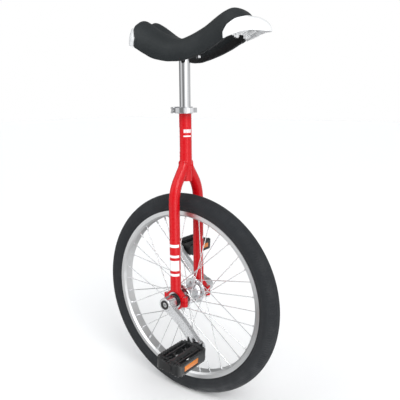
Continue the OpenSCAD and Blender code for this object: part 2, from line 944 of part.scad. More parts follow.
module pedal_body_right() {
    half_w = pedal_w / 2;
    half_t = pedal_t / 2 - tooth_h;
    color("black")
        at_right_pedal(pedal_tilt)
            difference() {
                union() {
                    translate([0, 0, body_in])
                        cylinder(r = barrel_out_r, h = pedal_len - 4);
                    for (z = [body_in, body_out - rail_t])
                        translate([-half_w + rail_t / 2, -half_t, z])
                            cube([pedal_w - rail_t, 2 * half_t, rail_t]);
                    for (z = [0.36, 0.64])
                        translate([-half_w + rail_t / 2, -half_t + 2, body_in + pedal_len * z - 2])
                            cube([pedal_w - rail_t, 2 * half_t - 4, 4]);
                    for (s = [-1, 1]) {
                        translate([s * (half_w - rail_t / 2), 0, body_in + pedal_len / 2])
                            cube([rail_t, 2 * half_t, pedal_len], center = true);
                        for (t = [-1, 1])
                            translate([s * (half_w - rail_t / 2), t * half_t, body_in])
                                teeth(pedal_len);
                    }
                }
                translate([0, 0, body_in - 1])
                    cylinder(r = spindle_r + 0.5, h = pedal_len + 2);
                translate([0, 0, body_in - 1])
                    cylinder(r = cup_r, h = cup_len + 1);
                translate([0, 0, body_out - 12 - cup_len])
                    cylinder(r = cup_r, h = cup_len + 20);
                for (s = [-1, 1])
                    translate([s * half_w, 0, reflector_z])
                        cube([2 * reflector_t, reflector_h + 0.4, reflector_l + 0.4], center = true);
            }
}

module pedal_body_left() {
    crank_to_left()
        pedal_body_right();
}

module pedal_bearings_right() {
    color("silver")
        at_right_pedal(pedal_tilt)
            for (z = [body_in + cup_len / 2, body_out - 12 - cup_len / 2])
                translate([0, 0, z])
                    ring(cup_r, spindle_r + run_gap, cup_len);
}

module pedal_bearings_left() {
    crank_to_left()
        pedal_bearings_right();
}

module pedal_reflectors_right() {
    color("orange")
        at_right_pedal(pedal_tilt)
            for (s = [-1, 1])
                translate([s * (pedal_w / 2 - reflector_t / 2), 0, reflector_z])
                    cube([reflector_t, reflector_h, reflector_l], center = true);
}

module pedal_reflectors_left() {
    crank_to_left()
        pedal_reflectors_right();
}

module pedal_end_cap_right() {
    color("black")
        at_right_pedal(pedal_tilt)
            difference() {
                union() {
                    translate([0, 0, body_out - 8])
                        cylinder(r = cup_r - face_gap, h = 8);
                    translate([0, 0, body_out])
                        cylinder(r = barrel_out_r, h = 2);
                }
                translate([0, 0, body_out - 9])
                    cylinder(r = cup_r - 2, h = 8);
            }
}

module pedal_end_cap_left() {
    crank_to_left()
        pedal_end_cap_right();
}

// Seat clamp with its quick release

module clamp_collar() {
    lip = clamp_z + clamp_h - tube_top;
    color("silver")
        difference() {
            union() {
                translate([0, 0, clamp_z])
                    cylinder(r = clamp_r, h = clamp_h);
                translate([skewer_x - 5, -ear_out, clamp_z])
                    cube([5 - skewer_x, 2 * ear_out, clamp_h]);
            }
            translate([0, 0, clamp_z - 1])
                cylinder(r = tube_r_out + face_gap, h = clamp_h - lip + 1 + face_gap);
            translate([0, 0, clamp_z])
                cylinder(r = post_d / 2 + 0.4, h = clamp_h + 1);
            translate([skewer_x - 10, -clamp_slot / 2, clamp_z - 1])
                cube([-skewer_x + 5, clamp_slot, clamp_h + 2]);
            translate([skewer_x, 0, clamp_mid])
                rotate([90, 0, 0])
                    cylinder(d = skewer_d + 0.4, h = 60, center = true);
        }
}

module clamp_skewer() {
    color("silver")
        difference() {
            union() {
                translate([skewer_x, cam_y, clamp_mid])
                    rotate([-90, 0, 0])
                        cylinder(d = skewer_d, h = ear_out + 12 - cam_y);
                translate([skewer_x, cam_y, clamp_mid])
                    cylinder(r = 4.4, h = eye_h, center = true);
            }
            translate([skewer_x, cam_y, clamp_mid])
                cylinder(d = pin_d + 2 * face_gap, h = cam_h, center = true);
        }
}

module cam_washer() {
    color("dimgray")
        translate([skewer_x, -ear_out - washer_t / 2, clamp_mid])
            rotate([90, 0, 0])
                ring(washer_r, skewer_d / 2 + face_gap, washer_t - 2 * face_gap);
}

module cam_pin() {
    color("silver")
        translate([skewer_x, cam_y, clamp_mid])
            cylinder(d = pin_d, h = cam_h, center = true);
}

// The cam is a forked disc whose centre sits off the pin, and the arm wraps round the tube
module release_lever() {
    color("silver")
        difference() {
            union() {
                translate([skewer_x, cam_y + cam_lift, clamp_mid])
                    cylinder(r = cam_r, h = cam_h, center = true);
                translate([0, 0, clamp_mid])
                    rotate([0, 0, lever_start])
                        rotate_extrude(angle = lever_end - lever_start)
                            translate([lever_r - lever_t / 2, -clamp_h * 0.36])
                                square([lever_t, clamp_h * 0.72]);
                translate([0, 0, clamp_mid])
                    rotate([0, 0, lever_end])
                        translate([lever_r, 0, 0])
                            cylinder(d = lever_t, h = clamp_h * 0.72, center = true);
            }
            translate([skewer_x, cam_y, clamp_mid])
                cylinder(d = pin_d + 2 * run_gap, h = cam_h + 2, center = true);
            translate([skewer_x, cam_y, clamp_mid])
                cube([2 * cam_r + 8, 2 * cam_r + 8, eye_h + 0.7], center = true);
        }
}

module thumb_nut() {
    color("silver")
        translate([skewer_x, ear_out + face_gap, clamp_mid])
            rotate([-90, 0, 0])
                difference() {
                    union() {
                        cylinder(r = nut_r, h = 9);
                        translate([0, 0, 9])
                            cylinder(r1 = nut_r, r2 = nut_r - 1.5, h = 1.5);
                    }
                    for (i = [0 : 11])
                        rotate([0, 0, 30 * i])
                            translate([nut_r + 0.4, 0, -1])
                                cylinder(r = 1, h = 14);
                    translate([0, 0, -1])
                        cylinder(d = skewer_d + 2 * run_gap, h = 14);
                }
}

// Seat post and saddle

module seat_post() {
    color("silver")
        difference() {
            translate([0, 0, post_bot])
                cylinder(d = post_d, h = post_top - post_bot);
            translate([0, 0, post_bot - 1])
                cylinder(d = post_d - 2 * post_wall, h = post_top - post_bot + 2);
        }
}

module mount_places() {
    for (x = [-1, 1], y = [-1, 1])
        translate([x * bolt_x, y * bolt_y, post_top])
            children();
}

module saddle_plate() {
    color("dimgray")
        difference() {
            union() {
                translate([-plate_l / 2, -plate_w / 2 + 8, post_top])
                    cube([plate_l, plate_w - 16, plate_t]);
                translate([-plate_l / 2 + 8, -plate_w / 2, post_top])
                    cube([plate_l - 16, plate_w, plate_t]);
                mount_places()
                    cylinder(r = 8, h = plate_t);
            }
            mount_places()
                translate([0, 0, -1])
                    cylinder(d = mount_bolt_d + 0.6, h = plate_t + 2);
        }
}

// The two screws of the front handle
module screw_places(z) {
    for (s = [-1, 1])
        translate([screw_x, s * screw_y, saddle_z + z])
            children();
}

module saddle_base() {
    pad_z = plate_t + face_gap;
    color("dimgray")
        difference() {
            union() {
                difference() {
                    arch_shell(foam_x[0], foam_x[1], base_s, base_top, base_t, base_t);
                    parting(handle_line);
                    parting(bumper_line);
                }
                intersection() {
                    union() {
                        mount_places()
                            translate([0, 0, pad_z])
                                cylinder(r = 8, h = 60);
                        screw_places(boss_high + part_gap)
                            cylinder(r = screw_d, h = 60);
                    }
                    arch_solid(-55, 165, base_s + 2, base_top + 2);
                }
            }
            mount_places()
                cylinder(d = mount_bolt_d + 0.6, h = big / 2);
            screw_places(boss_high - 2)
                cylinder(d = screw_d + 2 * face_gap, h = 10);
        }
}

// Everything under an arch, as a block down to below the saddle
module arch_solid(x0, x1, side, top) {
    steps = ceil((x1 - x0) / station);
    ring = section_n + 3;
    rings = [for (k = [0 : steps])
        let (x = x0 + (x1 - x0) * k / steps, a = arch(x, side, top))
        concat(a, [[x, a[section_n][1], saddle_z - 20], [x, a[0][1], saddle_z - 20]])];
    sides = [for (k = [0 : steps - 1], i = [0 : ring - 1])
        let (j = (i + 1) % ring, a = k * ring)
        each [[a + i, a + ring + i, a + j], [a + j, a + ring + i, a + ring + j]]];
    start = [[for (i = [0 : ring - 1]) i]];
    end = [[for (i = [ring - 1 : -1 : 0]) steps * ring + i]];
    polyhedron([for (r = rings) each r], concat(sides, start, end));
}

module saddle_foam() {
    color("gray")
        difference() {
            arch_shell(foam_x[0], foam_x[1], foam_s + layer_gap, cover_t + layer_gap, foam_side - 2 * layer_gap,
                foam_top - 2 * layer_gap);
            parting(handle_line);
            parting(bumper_line);
        }
}

module saddle_cover() {
    color("black")
        difference() {
            arch_shell(cover_x[0], cover_x[1], 0, 0, cover_t, cover_t);
            parting(handle_line);
            parting(bumper_line);
        }
}

// End moulding under the saddle's nose: a shell with a cross web and two screw bosses
module front_handle() {
    color("white")
        difference() {
            union() {
                intersection() {
                    arch_shell(handle_x[0], handle_x[1], 0, 0, moulding_t, moulding_t);
                    translate([part_gap, 0, -part_gap])
                        parting(handle_line);
                }
                intersection() {
                    translate([screw_x - 8, -big / 2, saddle_z + web_low])
                        cube([16, big, 3]);
                    arch_solid(130, 190, 2, 2);
                }
                screw_places(boss_low)
                    cylinder(r = screw_d + 0.5, h = boss_high - boss_low);
            }
            screw_places(boss_low - 1)
                cylinder(d = screw_d + 0.4, h = boss_high);
        }
}

module rear_bumper() {
    color("white")
        intersection() {
            arch_shell(bumper_x[0], bumper_x[1], 0, 0, moulding_t, moulding_t);
            translate([-part_gap, 0, -part_gap])
                parting(bumper_line);
        }
}

module saddle_bolts() {
    color("silver")
        mount_places()
            translate([0, 0, -3])
                cylinder(d = mount_bolt_d, h = 17);
}

module saddle_nuts() {
    color("silver")
        mount_places()
            translate([0, 0, -5 - face_gap])
                difference() {
                    cylinder(r = 5.7, h = 5, $fn = 6);
                    translate([0, 0, -1])
                        cylinder(d = mount_bolt_d + 2 * face_gap, h = 8);
                }
}

module handle_screws() {
    head_h = 2.4;
    color("silver")
        difference() {
            union() {
                screw_places(boss_low - face_gap - head_h)
                    cylinder(r = screw_d - 0.5, h = head_h);
                screw_places(boss_low - head_h)
                    cylinder(d = screw_d, h = boss_high - boss_low + head_h + 5);
            }
            screw_places(boss_low - head_h - 1)
                cylinder(d = 2, h = 2.6, $fn = 6);
        }
}

seat_tube();
fork_leg_right();
fork_leg_left();
bearing_holder_right();
bearing_holder_left();
bearing_cap_right();
bearing_cap_left();
cap_bolts();
outer_races();
bearing_seals();
clamp_collar();
clamp_skewer();
cam_washer();
cam_pin();
release_lever();
thumb_nut();
bearing_cage_right();
bearing_cage_left();
bearing_balls_right();
bearing_balls_left();
axle();
hub_shell();
inner_races();
bearing_spacers();
axle_collars();
spokes();
nipples();
rim();
rim_tape();
inner_tube();
valve_stem();
valve_nut();
tyre();
crank_right();
crank_left();
crank_bolts();
dust_caps();
pedal_spindle_right();
pedal_spindle_left();
pedal_body_right();
pedal_body_left();
pedal_bearings_right();
pedal_bearings_left();
pedal_reflectors_right();
pedal_reflectors_left();
pedal_end_cap_right();
pedal_end_cap_left();
seat_post();
saddle_plate();
saddle_base();
saddle_foam();
saddle_cover();
front_handle();
rear_bumper();
saddle_bolts();
saddle_nuts();
handle_screws();
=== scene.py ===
"""Looks of a 20 inch unicycle. Lengths are in millimetres here and turned to metres when a mesh is made."""
import json

import bpy
import numpy as np
from mathutils import Matrix, Vector


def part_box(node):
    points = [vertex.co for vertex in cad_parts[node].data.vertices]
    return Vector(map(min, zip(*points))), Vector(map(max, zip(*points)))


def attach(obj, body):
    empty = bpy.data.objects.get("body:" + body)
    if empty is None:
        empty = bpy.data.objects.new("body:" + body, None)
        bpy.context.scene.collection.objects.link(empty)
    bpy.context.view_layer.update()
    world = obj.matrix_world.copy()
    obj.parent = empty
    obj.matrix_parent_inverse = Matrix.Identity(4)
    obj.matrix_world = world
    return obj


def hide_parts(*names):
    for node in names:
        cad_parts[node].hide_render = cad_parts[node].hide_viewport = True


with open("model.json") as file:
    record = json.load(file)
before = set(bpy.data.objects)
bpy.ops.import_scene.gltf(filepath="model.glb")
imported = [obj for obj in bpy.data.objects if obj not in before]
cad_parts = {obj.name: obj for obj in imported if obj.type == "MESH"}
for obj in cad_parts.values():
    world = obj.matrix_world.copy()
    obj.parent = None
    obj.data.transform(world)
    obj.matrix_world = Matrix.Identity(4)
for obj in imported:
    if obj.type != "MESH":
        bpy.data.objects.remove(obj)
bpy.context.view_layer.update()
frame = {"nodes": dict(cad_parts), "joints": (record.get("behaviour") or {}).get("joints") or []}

NODES = frame["nodes"]
JOINT_AT = {j["name"]: 1000 * np.array(j["pos_m"]) for j in frame["joints"] if "pos_m" in j}
MM = 0.001


def box_mm(node):
    """Lowest and highest corner of a CAD node in millimetres."""
    low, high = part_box(node)
    return 1000 * np.array(low), 1000 * np.array(high)


# ---------------------------------------------------------------- driving places, from the frame
AXLE = JOINT_AT["wheel_spin"]
TYRE_R = AXLE[2]
BEARING_Y = JOINT_AT["cage_spin_left"][1]
POST_TOP = box_mm("seat_post")[1][2]
SADDLE_Z = POST_TOP - 15
TUBE_BOTTOM = box_mm("seat_tube")[0][2]
TUBE_R = box_mm("seat_tube")[1][0]
LEG_R = box_mm("fork_leg_left")[1][0]


# ---------------------------------------------------------------- mesh helpers
def grid_faces(rows, cols, close_rows=False, close_cols=False):
    """Quads of a grid of rows x cols points; a closed direction joins its last line to its first."""
    i, j = np.meshgrid(np.arange(rows if close_rows else rows - 1),
                       np.arange(cols if close_cols else cols - 1), indexing="ij")
    below, right = (i + 1) % rows, (j + 1) % cols
    corners = [i * cols + j, below * cols + j, below * cols + right, i * cols + right]
    return np.stack(corners, -1).reshape(-1, 4)


def volume(points, faces):
    """Signed volume under a list of faces, positive when they point outwards."""
    total = 0.0
    for size in (3, 4):
        some = np.array([f for f in faces if len(f) == size])
        if len(some):
            a = points[some[:, 0]]
            for k in range(1, size - 1):
                total += np.einsum("ij,ij->i", a, np.cross(points[some[:, k]], points[some[:, k + 1]])).sum()
    return total


def piece(name, body, finish, points, faces, outward=True):
    """Puts points (millimetres) and faces into a mesh object that rides on a body."""
    points = np.asarray(points, float).reshape(-1, 3)
    faces = [list(f) for f in np.asarray(faces).tolist()] if isinstance(faces, np.ndarray) else list(faces)
    if outward and volume(points, faces) < 0:
        faces = [f[::-1] for f in faces]
    mesh = bpy.data.meshes.new(name)
    mesh.from_pydata(points * MM, [], faces)
    mesh.update()
    mesh.shade_smooth()
    mesh.materials.append(finish)
    made = bpy.data.objects.new(name, mesh)
    bpy.context.scene.collection.objects.link(made)
    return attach(made, body)


def closed_loft(rings, closed=False):
    """Rings of points, one after the other, joined into a closed skin; open ends get a pole in the middle."""
    rings = np.asarray(rings, float)
    rows, cols = rings.shape[:2]
    points = rings.reshape(-1, 3)
    faces = grid_faces(rows, cols, closed, True).tolist()
    if not closed:
        ends = np.stack([rings[0].mean(0), rings[-1].mean(0)])
        first, last = rows * cols, rows * cols + 1
        points = np.vstack([points, ends])
        k = np.arange(cols)
        nxt = (k + 1) % cols
        start = (rows - 1) * cols
        faces += np.stack([np.full(cols, first), k, nxt], -1).tolist()
        faces += np.stack([np.full(cols, last), start + nxt, start + k], -1).tolist()
    return points, faces


def join(*parts):
    """Several (points, faces) skins as one, each turned to face outwards."""
    points, faces, count = [], [], 0
    for p, f in parts:
        if volume(p, f) < 0:
            f = [g[::-1] for g in f]
        points.append(p)
        faces += [[v + count for v in g] for g in f]
        count += len(p)
    return np.vstack(points), faces


def rounded_box(width, height, radius, steps=4):
    """Closed outline of a box with round corners, centred on zero: four quarter arcs in a row."""
    a = np.concatenate([np.linspace(q, q + np.pi / 2, steps + 1) for q in np.arange(4) * np.pi / 2])
    turn = np.repeat(np.arange(4), steps + 1)
    cx = (width / 2 - radius) * np.array([1, -1, -1, 1])[turn]
    cy = (height / 2 - radius) * np.array([1, 1, -1, -1])[turn]
    return np.stack([cx + radius * np.cos(a), cy + radius * np.sin(a)], -1)


def sweep(path, across, up, profile, closed=False):
    """A profile carried along a path: its first number runs along across, its second along up."""
    profile = np.broadcast_to(profile, (len(path),) + np.shape(profile)[-2:])
    rings = path[:, None] + profile[..., :1] * across[:, None] + profile[..., 1:] * up[:, None]
    return closed_loft(rings, closed)


def tube(path, radius, sides=10, closed=False):
    """Round tube along a path: circles square to the path's own direction."""
    path = np.asarray(path, float)
    ahead = np.roll(path, -1, 0) - np.roll(path, 1, 0)
    if not closed:
        ahead[0], ahead[-1] = path[1] - path[0], path[-1] - path[-2]
    ahead /= np.linalg.norm(ahead, axis=1, keepdims=True)
    side = np.cross(ahead, np.array([0.13, 0.31, 0.94]))
    side /= np.linalg.norm(side, axis=1, keepdims=True)
    a = np.linspace(0, 2 * np.pi, sides, endpoint=False)
    ring = np.stack([np.cos(a), np.sin(a)], -1) * np.reshape(radius, (-1, 1, 1))
    return sweep(path, side, np.cross(ahead, side), ring, closed)


def turned(profile, at, axis, steps=64):
    """Surface of revolution: a closed outline of (height, radius) points turned about an axis through at."""
    axis = np.array(axis, float) / np.linalg.norm(axis)
    side = np.cross(axis, [0.3, 0.1, 0.95])
    side /= np.linalg.norm(side)
    other = np.cross(axis, side)
    a = np.linspace(0, 2 * np.pi, steps, endpoint=False)[:, None, None]
    profile = np.array(profile, float)
    rings = np.array(at) + profile[:, :1] * axis + profile[:, 1:] * (np.cos(a) * side + np.sin(a) * other)
    return closed_loft(rings, closed=True)


def smooth_line(line, x):
    """Height at x of a smooth curve through points (x, value): a cubic in each span. Its slope at a point is
    that of the line between the two neighbours of the point."""
    line = np.array(line, float)
    px, py = line[:, 0], line[:, 1]
    low, high = np.maximum(np.arange(len(px)) - 1, 0), np.minimum(np.arange(len(px)) + 1, len(px) - 1)
    slope = (py[high] - py[low]) / (px[high] - px[low])
    i = np.clip(np.searchsorted(px, x, side="right") - 1, 0, len(px) - 2)
    h = px[i + 1] - px[i]
    t = (x - px[i]) / h
    return ((2 * t**3 - 3 * t**2 + 1) * py[i] + (t**3 - 2 * t**2 + t) * h * slope[i]
            + (3 * t**2 - 2 * t**3) * py[i + 1] + (t**3 - t**2) * h * slope[i + 1])


def ease(t):
    """Smooth step from 0 to 1."""
    t = np.clip(t, 0, 1)
    return t * t * (3 - 2 * t)


# ---------------------------------------------------------------- shader nodes
def feed(tree, socket, value):
    """Links another node's output to a socket, or gives the socket a constant."""
    if isinstance(value, bpy.types.NodeSocket):
        tree.links.new(value, socket)
    else:
        socket.default_value = value


def new_node(tree, kind, *values, **settings):
    """A node with its settings, and its sockets filled in their order."""
    made = tree.nodes.new(kind)
    for key, value in settings.items():
        setattr(made, key, value)
    for socket, value in zip(made.inputs, values):
        feed(tree, socket, value)
    return made


# ---------------------------------------------------------------- finishes
class Finish:
    """A material on the surface shader, with short ways to add pattern nodes. Patterns are in metres."""

    def __init__(self, name, colour, roughness, **sockets):
        self.made = bpy.data.materials.new(name)
        self.made.use_nodes = True
        self.tree = self.made.node_tree
        self.shader = self.tree.nodes["Principled BSDF"]
        self.shader.inputs["Base Color"].default_value = (*colour, 1)
        self.shader.inputs["Roughness"].default_value = roughness
        for key, value in sockets.items():
            self.shader.inputs[key.replace("_", " ")].default_value = value
        self.colour = (*colour, 1)
        self.place = self.add("ShaderNodeTexCoord").outputs["Object"]
        self.relief = None

    def add(self, kind, *values, **settings):
        return new_node(self.tree, kind, *values, **settings)

    def feed(self, socket, value):
        feed(self.tree, socket, value)

    def math(self, operation, *values):
        return self.add("ShaderNodeMath", *values, operation=operation).outputs[0]

    def xyz(self, x, y, z):
        return self.add("ShaderNodeCombineXYZ", x, y, z).outputs[0]

    def split(self, vector=None):
        """The three numbers of a place."""
        return self.add("ShaderNodeSeparateXYZ", vector or self.place).outputs

    def scaled(self, x, y, z):
        """Place stretched along each axis."""
        made = self.add("ShaderNodeMapping", self.place)
        made.inputs["Scale"].default_value = (x, y, z)
        return made.outputs[0]

    def wheel_place(self, along, across, axial):
        """Place measured round the axle: angle, distance from it and distance along it, each scaled."""
        x, y, z = self.split()
        height = self.math("SUBTRACT", z, AXLE[2] * MM)
        angle = self.math("ARCTAN2", height, x)
        distance = self.math("SQRT", self.math("ADD", self.math("MULTIPLY", x, x),
                                               self.math("MULTIPLY", height, height)))
        return self.xyz(self.math("MULTIPLY", angle, along), self.math("MULTIPLY", distance, across),
                        self.math("MULTIPLY", y, axial))

    def noise(self, scale, detail=3.0, vector=None, sharp=0.5):
        """Soft random pattern from 0 to 1, with scale spots to the metre."""
        made = self.add("ShaderNodeTexNoise")
        self.feed(made.inputs["Vector"], vector or self.place)
        made.inputs["Scale"].default_value = scale
        made.inputs["Detail"].default_value = detail
        made.inputs["Roughness"].default_value = sharp
        return made.outputs["Fac"]

    def cells(self, scale, vector=None):
        """Distance to the border between random cells."""
        made = self.add("ShaderNodeTexVoronoi", feature="DISTANCE_TO_EDGE")
        self.feed(made.inputs["Vector"], vector or self.place)
        made.inputs["Scale"].default_value = scale
        return made.outputs["Distance"]

    def step(self, value, low, high, first=0.0, second=1.0):
        """Eases from first to second as a value goes from low to high."""
        return self.add("ShaderNodeMapRange", value, low, high, first, second,
                        interpolation_type="SMOOTHSTEP").outputs["Result"]

    def band(self, value, low, high, soft=0.0002):
        """1 between low and high, with a soft border."""
        return self.math("MULTIPLY", self.step(value, low - soft, low + soft),
                         self.step(value, high - soft, high + soft, 1.0, 0.0))

    def tint(self, mask, colour):
        """Mixes a colour over what the base colour holds so far."""
        made = self.add("ShaderNodeMix", data_type="RGBA")
        base = self.shader.inputs["Base Color"]
        before = base.links[0].from_socket if base.links else self.colour
        self.feed(made.inputs[0], mask)
        self.feed(made.inputs[6], before)
        made.inputs[7].default_value = (*colour, 1)
        self.tree.links.new(made.outputs[2], base)

    def rough(self, value, low, high):
        """Roughness from low to high as a pattern goes from 0 to 1."""
        self.feed(self.shader.inputs["Roughness"], self.step(value, 0.25, 0.75, low, high))

    def bump(self, height, strength, distance):
        """Adds a layer of relief on top of the layers before it; distance is in metres."""
        made = self.add("ShaderNodeBump")
        made.inputs["Strength"].default_value = strength
        made.inputs["Distance"].default_value = distance
        self.feed(made.inputs["Height"], height)
        if self.relief:
            self.feed(made.inputs["Normal"], self.relief)
        self.relief = made.outputs["Normal"]
        self.feed(self.shader.inputs["Normal"], self.relief)


RED = (0.60, 0.002, 0.007)
WHITE_INK = (0.9, 0.9, 0.9)
LEG_BARS = ((0.314, 0.320), (0.327, 0.352), (0.359, 0.365), (0.384, 0.391))
LEG_OUTSIDE = (0.0465, 0.0472)
TUBE_LINE, TUBE_DASHES = (0.6385, 0.6415), (0.6475, 0.6555)
TUBE_FRONT = (-1.25, 0.15)
TUBE_STRIPE, TUBE_REAR = (0.603, 0.660), (-2.45, -2.15)
RIBBED_SIDEWALL, SIDEWALL_RIB = (0.2155, 0.2265), 0.0014


def enamel(name):
    """Glossy red enamel: thin clear coat, faint orange peel, small scuffs."""
    made = Finish(name, RED, 0.32, Coat_Weight=0.32, Coat_Roughness=0.03, Specular_IOR_Level=0.2)
    made.tint(made.step(made.noise(22, 3), 0.35, 0.75, 0.0, 0.35), (0.52, 0.003, 0.008))
    made.tint(made.step(made.noise(900, 2), 0.66, 0.74, 0.0, 0.25), (0.74, 0.04, 0.04))
    made.rough(made.noise(160, 4), 0.22, 0.42)
    made.bump(made.noise(420, 2), 0.12, 0.0004)
    return made


def leg_enamel():
    """Enamel with a generic group of white bars on the outer half of each leg."""
    made = enamel("red_enamel_leg")
    _, y, z = made.split()
    outer = made.step(made.math("ABSOLUTE", y), *LEG_OUTSIDE)
    bars = 0.0
    for low, high in LEG_BARS:
        bars = made.math("ADD", bars, made.band(z, low, high))
    made.tint(made.math("MULTIPLY", outer, bars), WHITE_INK)
    return made.made


def tube_enamel():
    """Enamel with a plain line and a row of dashes at the front right, and an upright stripe at the rear
    right. Angles are round the tube, from straight ahead."""
    made = enamel("red_enamel_tube")
    x, y, z = made.split()
    turn = made.math("ARCTAN2", y, x)
    dash = made.band(made.math("FRACT", made.math("MULTIPLY", turn, 4.2)), 0.08, 0.86, 0.04)
    lines = made.math("ADD", made.band(z, *TUBE_LINE),
                      made.math("MULTIPLY", made.band(z, *TUBE_DASHES), dash))
    made.tint(made.math("MULTIPLY", lines, made.band(turn, *TUBE_FRONT, 0.02)), WHITE_INK)
    made.tint(made.math("MULTIPLY", made.band(z, *TUBE_STRIPE), made.band(turn, *TUBE_REAR, 0.02)), WHITE_INK)
    return made.made


def alloy(name, colour, low, high, lines, dark=0.0):
    """Aluminium or steel: fine tool lines along a stretched place, spots and light wear."""
    made = Finish(name, colour, low, Metallic=1.0)
    fine = made.noise(1.0, 4, lines(made), 0.65)
    made.rough(fine, low, high)
    made.tint(made.step(made.noise(35, 4), 0.4, 0.8, 0.0, 0.35), tuple(0.8 * c for c in colour))
    if dark:
        made.tint(made.step(made.noise(9, 5), 0.52, 0.75, 0.0, dark), tuple(0.45 * c for c in colour))
    made.bump(fine, 0.25, 0.00008)
    made.bump(made.noise(260, 2), 0.06, 0.0003)
    return made.made


def round_lines(made):
    """Tool lines that run round the axle."""
    return made.wheel_place(9.0, 2600.0, 2600.0)


def long_lines(x, y, z):
    """Tool lines along one axis, where that axis has the small number."""
    return lambda made: made.scaled(x, y, z)


def rubber(name, colour, grain=700, low=0.62, high=0.82):
    """Moulded rubber: fine pores, dusty patches and a soft sheen."""
    made = Finish(name, colour, low, Sheen_Weight=0.05, Sheen_Roughness=0.5, Specular_IOR_Level=0.35)
    made.tint(made.step(made.noise(14, 5), 0.45, 0.8, 0.0, 0.5), tuple(1.7 * c for c in colour))
    made.tint(made.step(made.noise(grain, 2), 0.6, 0.8, 0.0, 0.3), tuple(0.5 * c for c in colour))
    made.rough(made.noise(45, 4), low, high)
    made.bump(made.noise(grain, 3), 0.3, 0.0003)
    return made


def tyre_rubber():
    """Tyre rubber with fine ribs round the sidewall, a painted highlight on the rib crests, and pale mould
    dust.
    """
    made = rubber("tyre_rubber", (0.013, 0.015, 0.018), 900)
    _, distance, _ = made.split(made.wheel_place(0.0, 1.0, 0.0))
    wave = made.math("SINE", made.math("MULTIPLY", distance, 2 * np.pi / SIDEWALL_RIB))
    side = made.band(distance, *RIBBED_SIDEWALL, 0.0006)
    made.bump(made.math("MULTIPLY", wave, side), 0.5, 0.0003)
    # painted highlight: the sidewall ribs are paler where the bump wave is high, on their crests
    made.tint(made.math("MULTIPLY", side, made.step(wave, 0.2, 1.0, 0.0, 0.25)), (0.035, 0.038, 0.042))
    return made.made


def moulded_plastic(name, colour, low=0.38, high=0.55, grain=1500):
    """Moulded black plastic: spark-eroded grain and scuffed highs."""
    made = Finish(name, colour, low)
    made.rough(made.noise(60, 4), low, high)
    scuffed = tuple(min(1, 2.2 * c + 0.01) for c in colour)
    made.tint(made.step(made.noise(24, 6), 0.55, 0.8, 0.0, 0.4), scuffed)
    made.bump(made.noise(grain, 2), 0.35, 0.00025)
    return made


def white_plastic():
    """White moulded plastic: soft gloss, faint flow marks, a little yellowing."""
    made = Finish("white_plastic", (0.84, 0.85, 0.86), 0.28, Coat_Weight=0.3, Coat_Roughness=0.15)
    made.tint(made.step(made.noise(18, 4), 0.4, 0.8, 0.0, 0.3), (0.80, 0.80, 0.78))
    made.tint(made.step(made.noise(500, 2), 0.70, 0.78, 0.0, 0.25), (0.62, 0.62, 0.61))
    made.rough(made.noise(70, 4), 0.22, 0.40)
    made.bump(made.noise(1100, 2), 0.15, 0.0002)
    return made.made


def vinyl():
    """Soft black vinyl: cell-like leather grain with painted shade in its creases, a low sheen and slightly
    polished patches.
    """
    made = Finish("black_vinyl", (0.011, 0.015, 0.017), 0.42, Specular_IOR_Level=0.32)
    push = made.add("ShaderNodeTexNoise", made.place)
    push.inputs["Scale"].default_value = 240
    small = made.add("ShaderNodeVectorMath", push.outputs["Color"], operation="SCALE")
    small.inputs["Scale"].default_value = 0.0018
    bent = made.add("ShaderNodeVectorMath", made.place, small.outputs[0], operation="ADD")
    grain = made.cells(620, bent.outputs[0])
    # painted shade: the grain's creases, where the bump below sinks, are darkened
    made.tint(made.step(grain, 0.0, 0.12, 0.5, 0.0), (0.006, 0.007, 0.008))
    made.tint(made.step(made.noise(11, 4), 0.42, 0.75, 0.0, 0.5), (0.024, 0.029, 0.032))
    made.rough(made.noise(30, 5), 0.34, 0.50)
    made.bump(made.step(grain, 0.0, 0.16), 0.35, 0.0003)
    made.bump(made.noise(90, 3), 0.18, 0.0008)
    return made.made


def base_plastic():
    """Saddle base: dark plastic with a coarse grain, dust and pale mould streaks."""
    made = moulded_plastic("base_plastic", (0.012, 0.012, 0.013), 0.45, 0.7, 900)
    made.tint(made.step(made.noise(70, 5, made.scaled(1, 3, 3)), 0.6, 0.8, 0.0, 0.35), (0.09, 0.09, 0.095))
    return made.made


def amber():
    """Amber reflector: clear face over a field of small prisms, with painted shade along the prism borders
    and a faint painted glow.
    """
    # the small emission is a painted glow: the reflector is no lamp
    made = Finish("amber_reflector", (0.66, 0.17, 0.002), 0.3, Coat_Weight=0.25, Coat_Roughness=0.06,
                  Emission_Strength=0.05)
    made.shader.inputs["Emission Color"].default_value = (1.0, 0.4, 0.02, 1)
    prisms = made.cells(520)
    # painted shade: the prism borders, where the bump below sinks, are darker
    made.tint(made.step(prisms, 0.0, 0.10, 0.7, 0.0), (0.62, 0.14, 0.004))
    made.tint(made.step(made.noise(420, 1), 0.55, 0.7, 0.0, 0.5), (0.80, 0.30, 0.01))
    made.bump(made.step(prisms, 0.0, 0.3), 0.6, 0.0006)
    return made.made


def chrome():
    """Chrome plate on a drawn tube: mirror bright, with long hairlines and insertion marks."""
    made = Finish("chrome_plate", (0.80, 0.81, 0.83), 0.06, Metallic=1.0)
    hair = made.noise(1.0, 5, made.scaled(1800, 1800, 12), 0.7)
    made.rough(hair, 0.04, 0.16)
    made.tint(made.step(made.noise(12, 4), 0.5, 0.8, 0.0, 0.3), (0.62, 0.63, 0.65))
    made.bump(hair, 0.12, 0.00005)
    return made.made


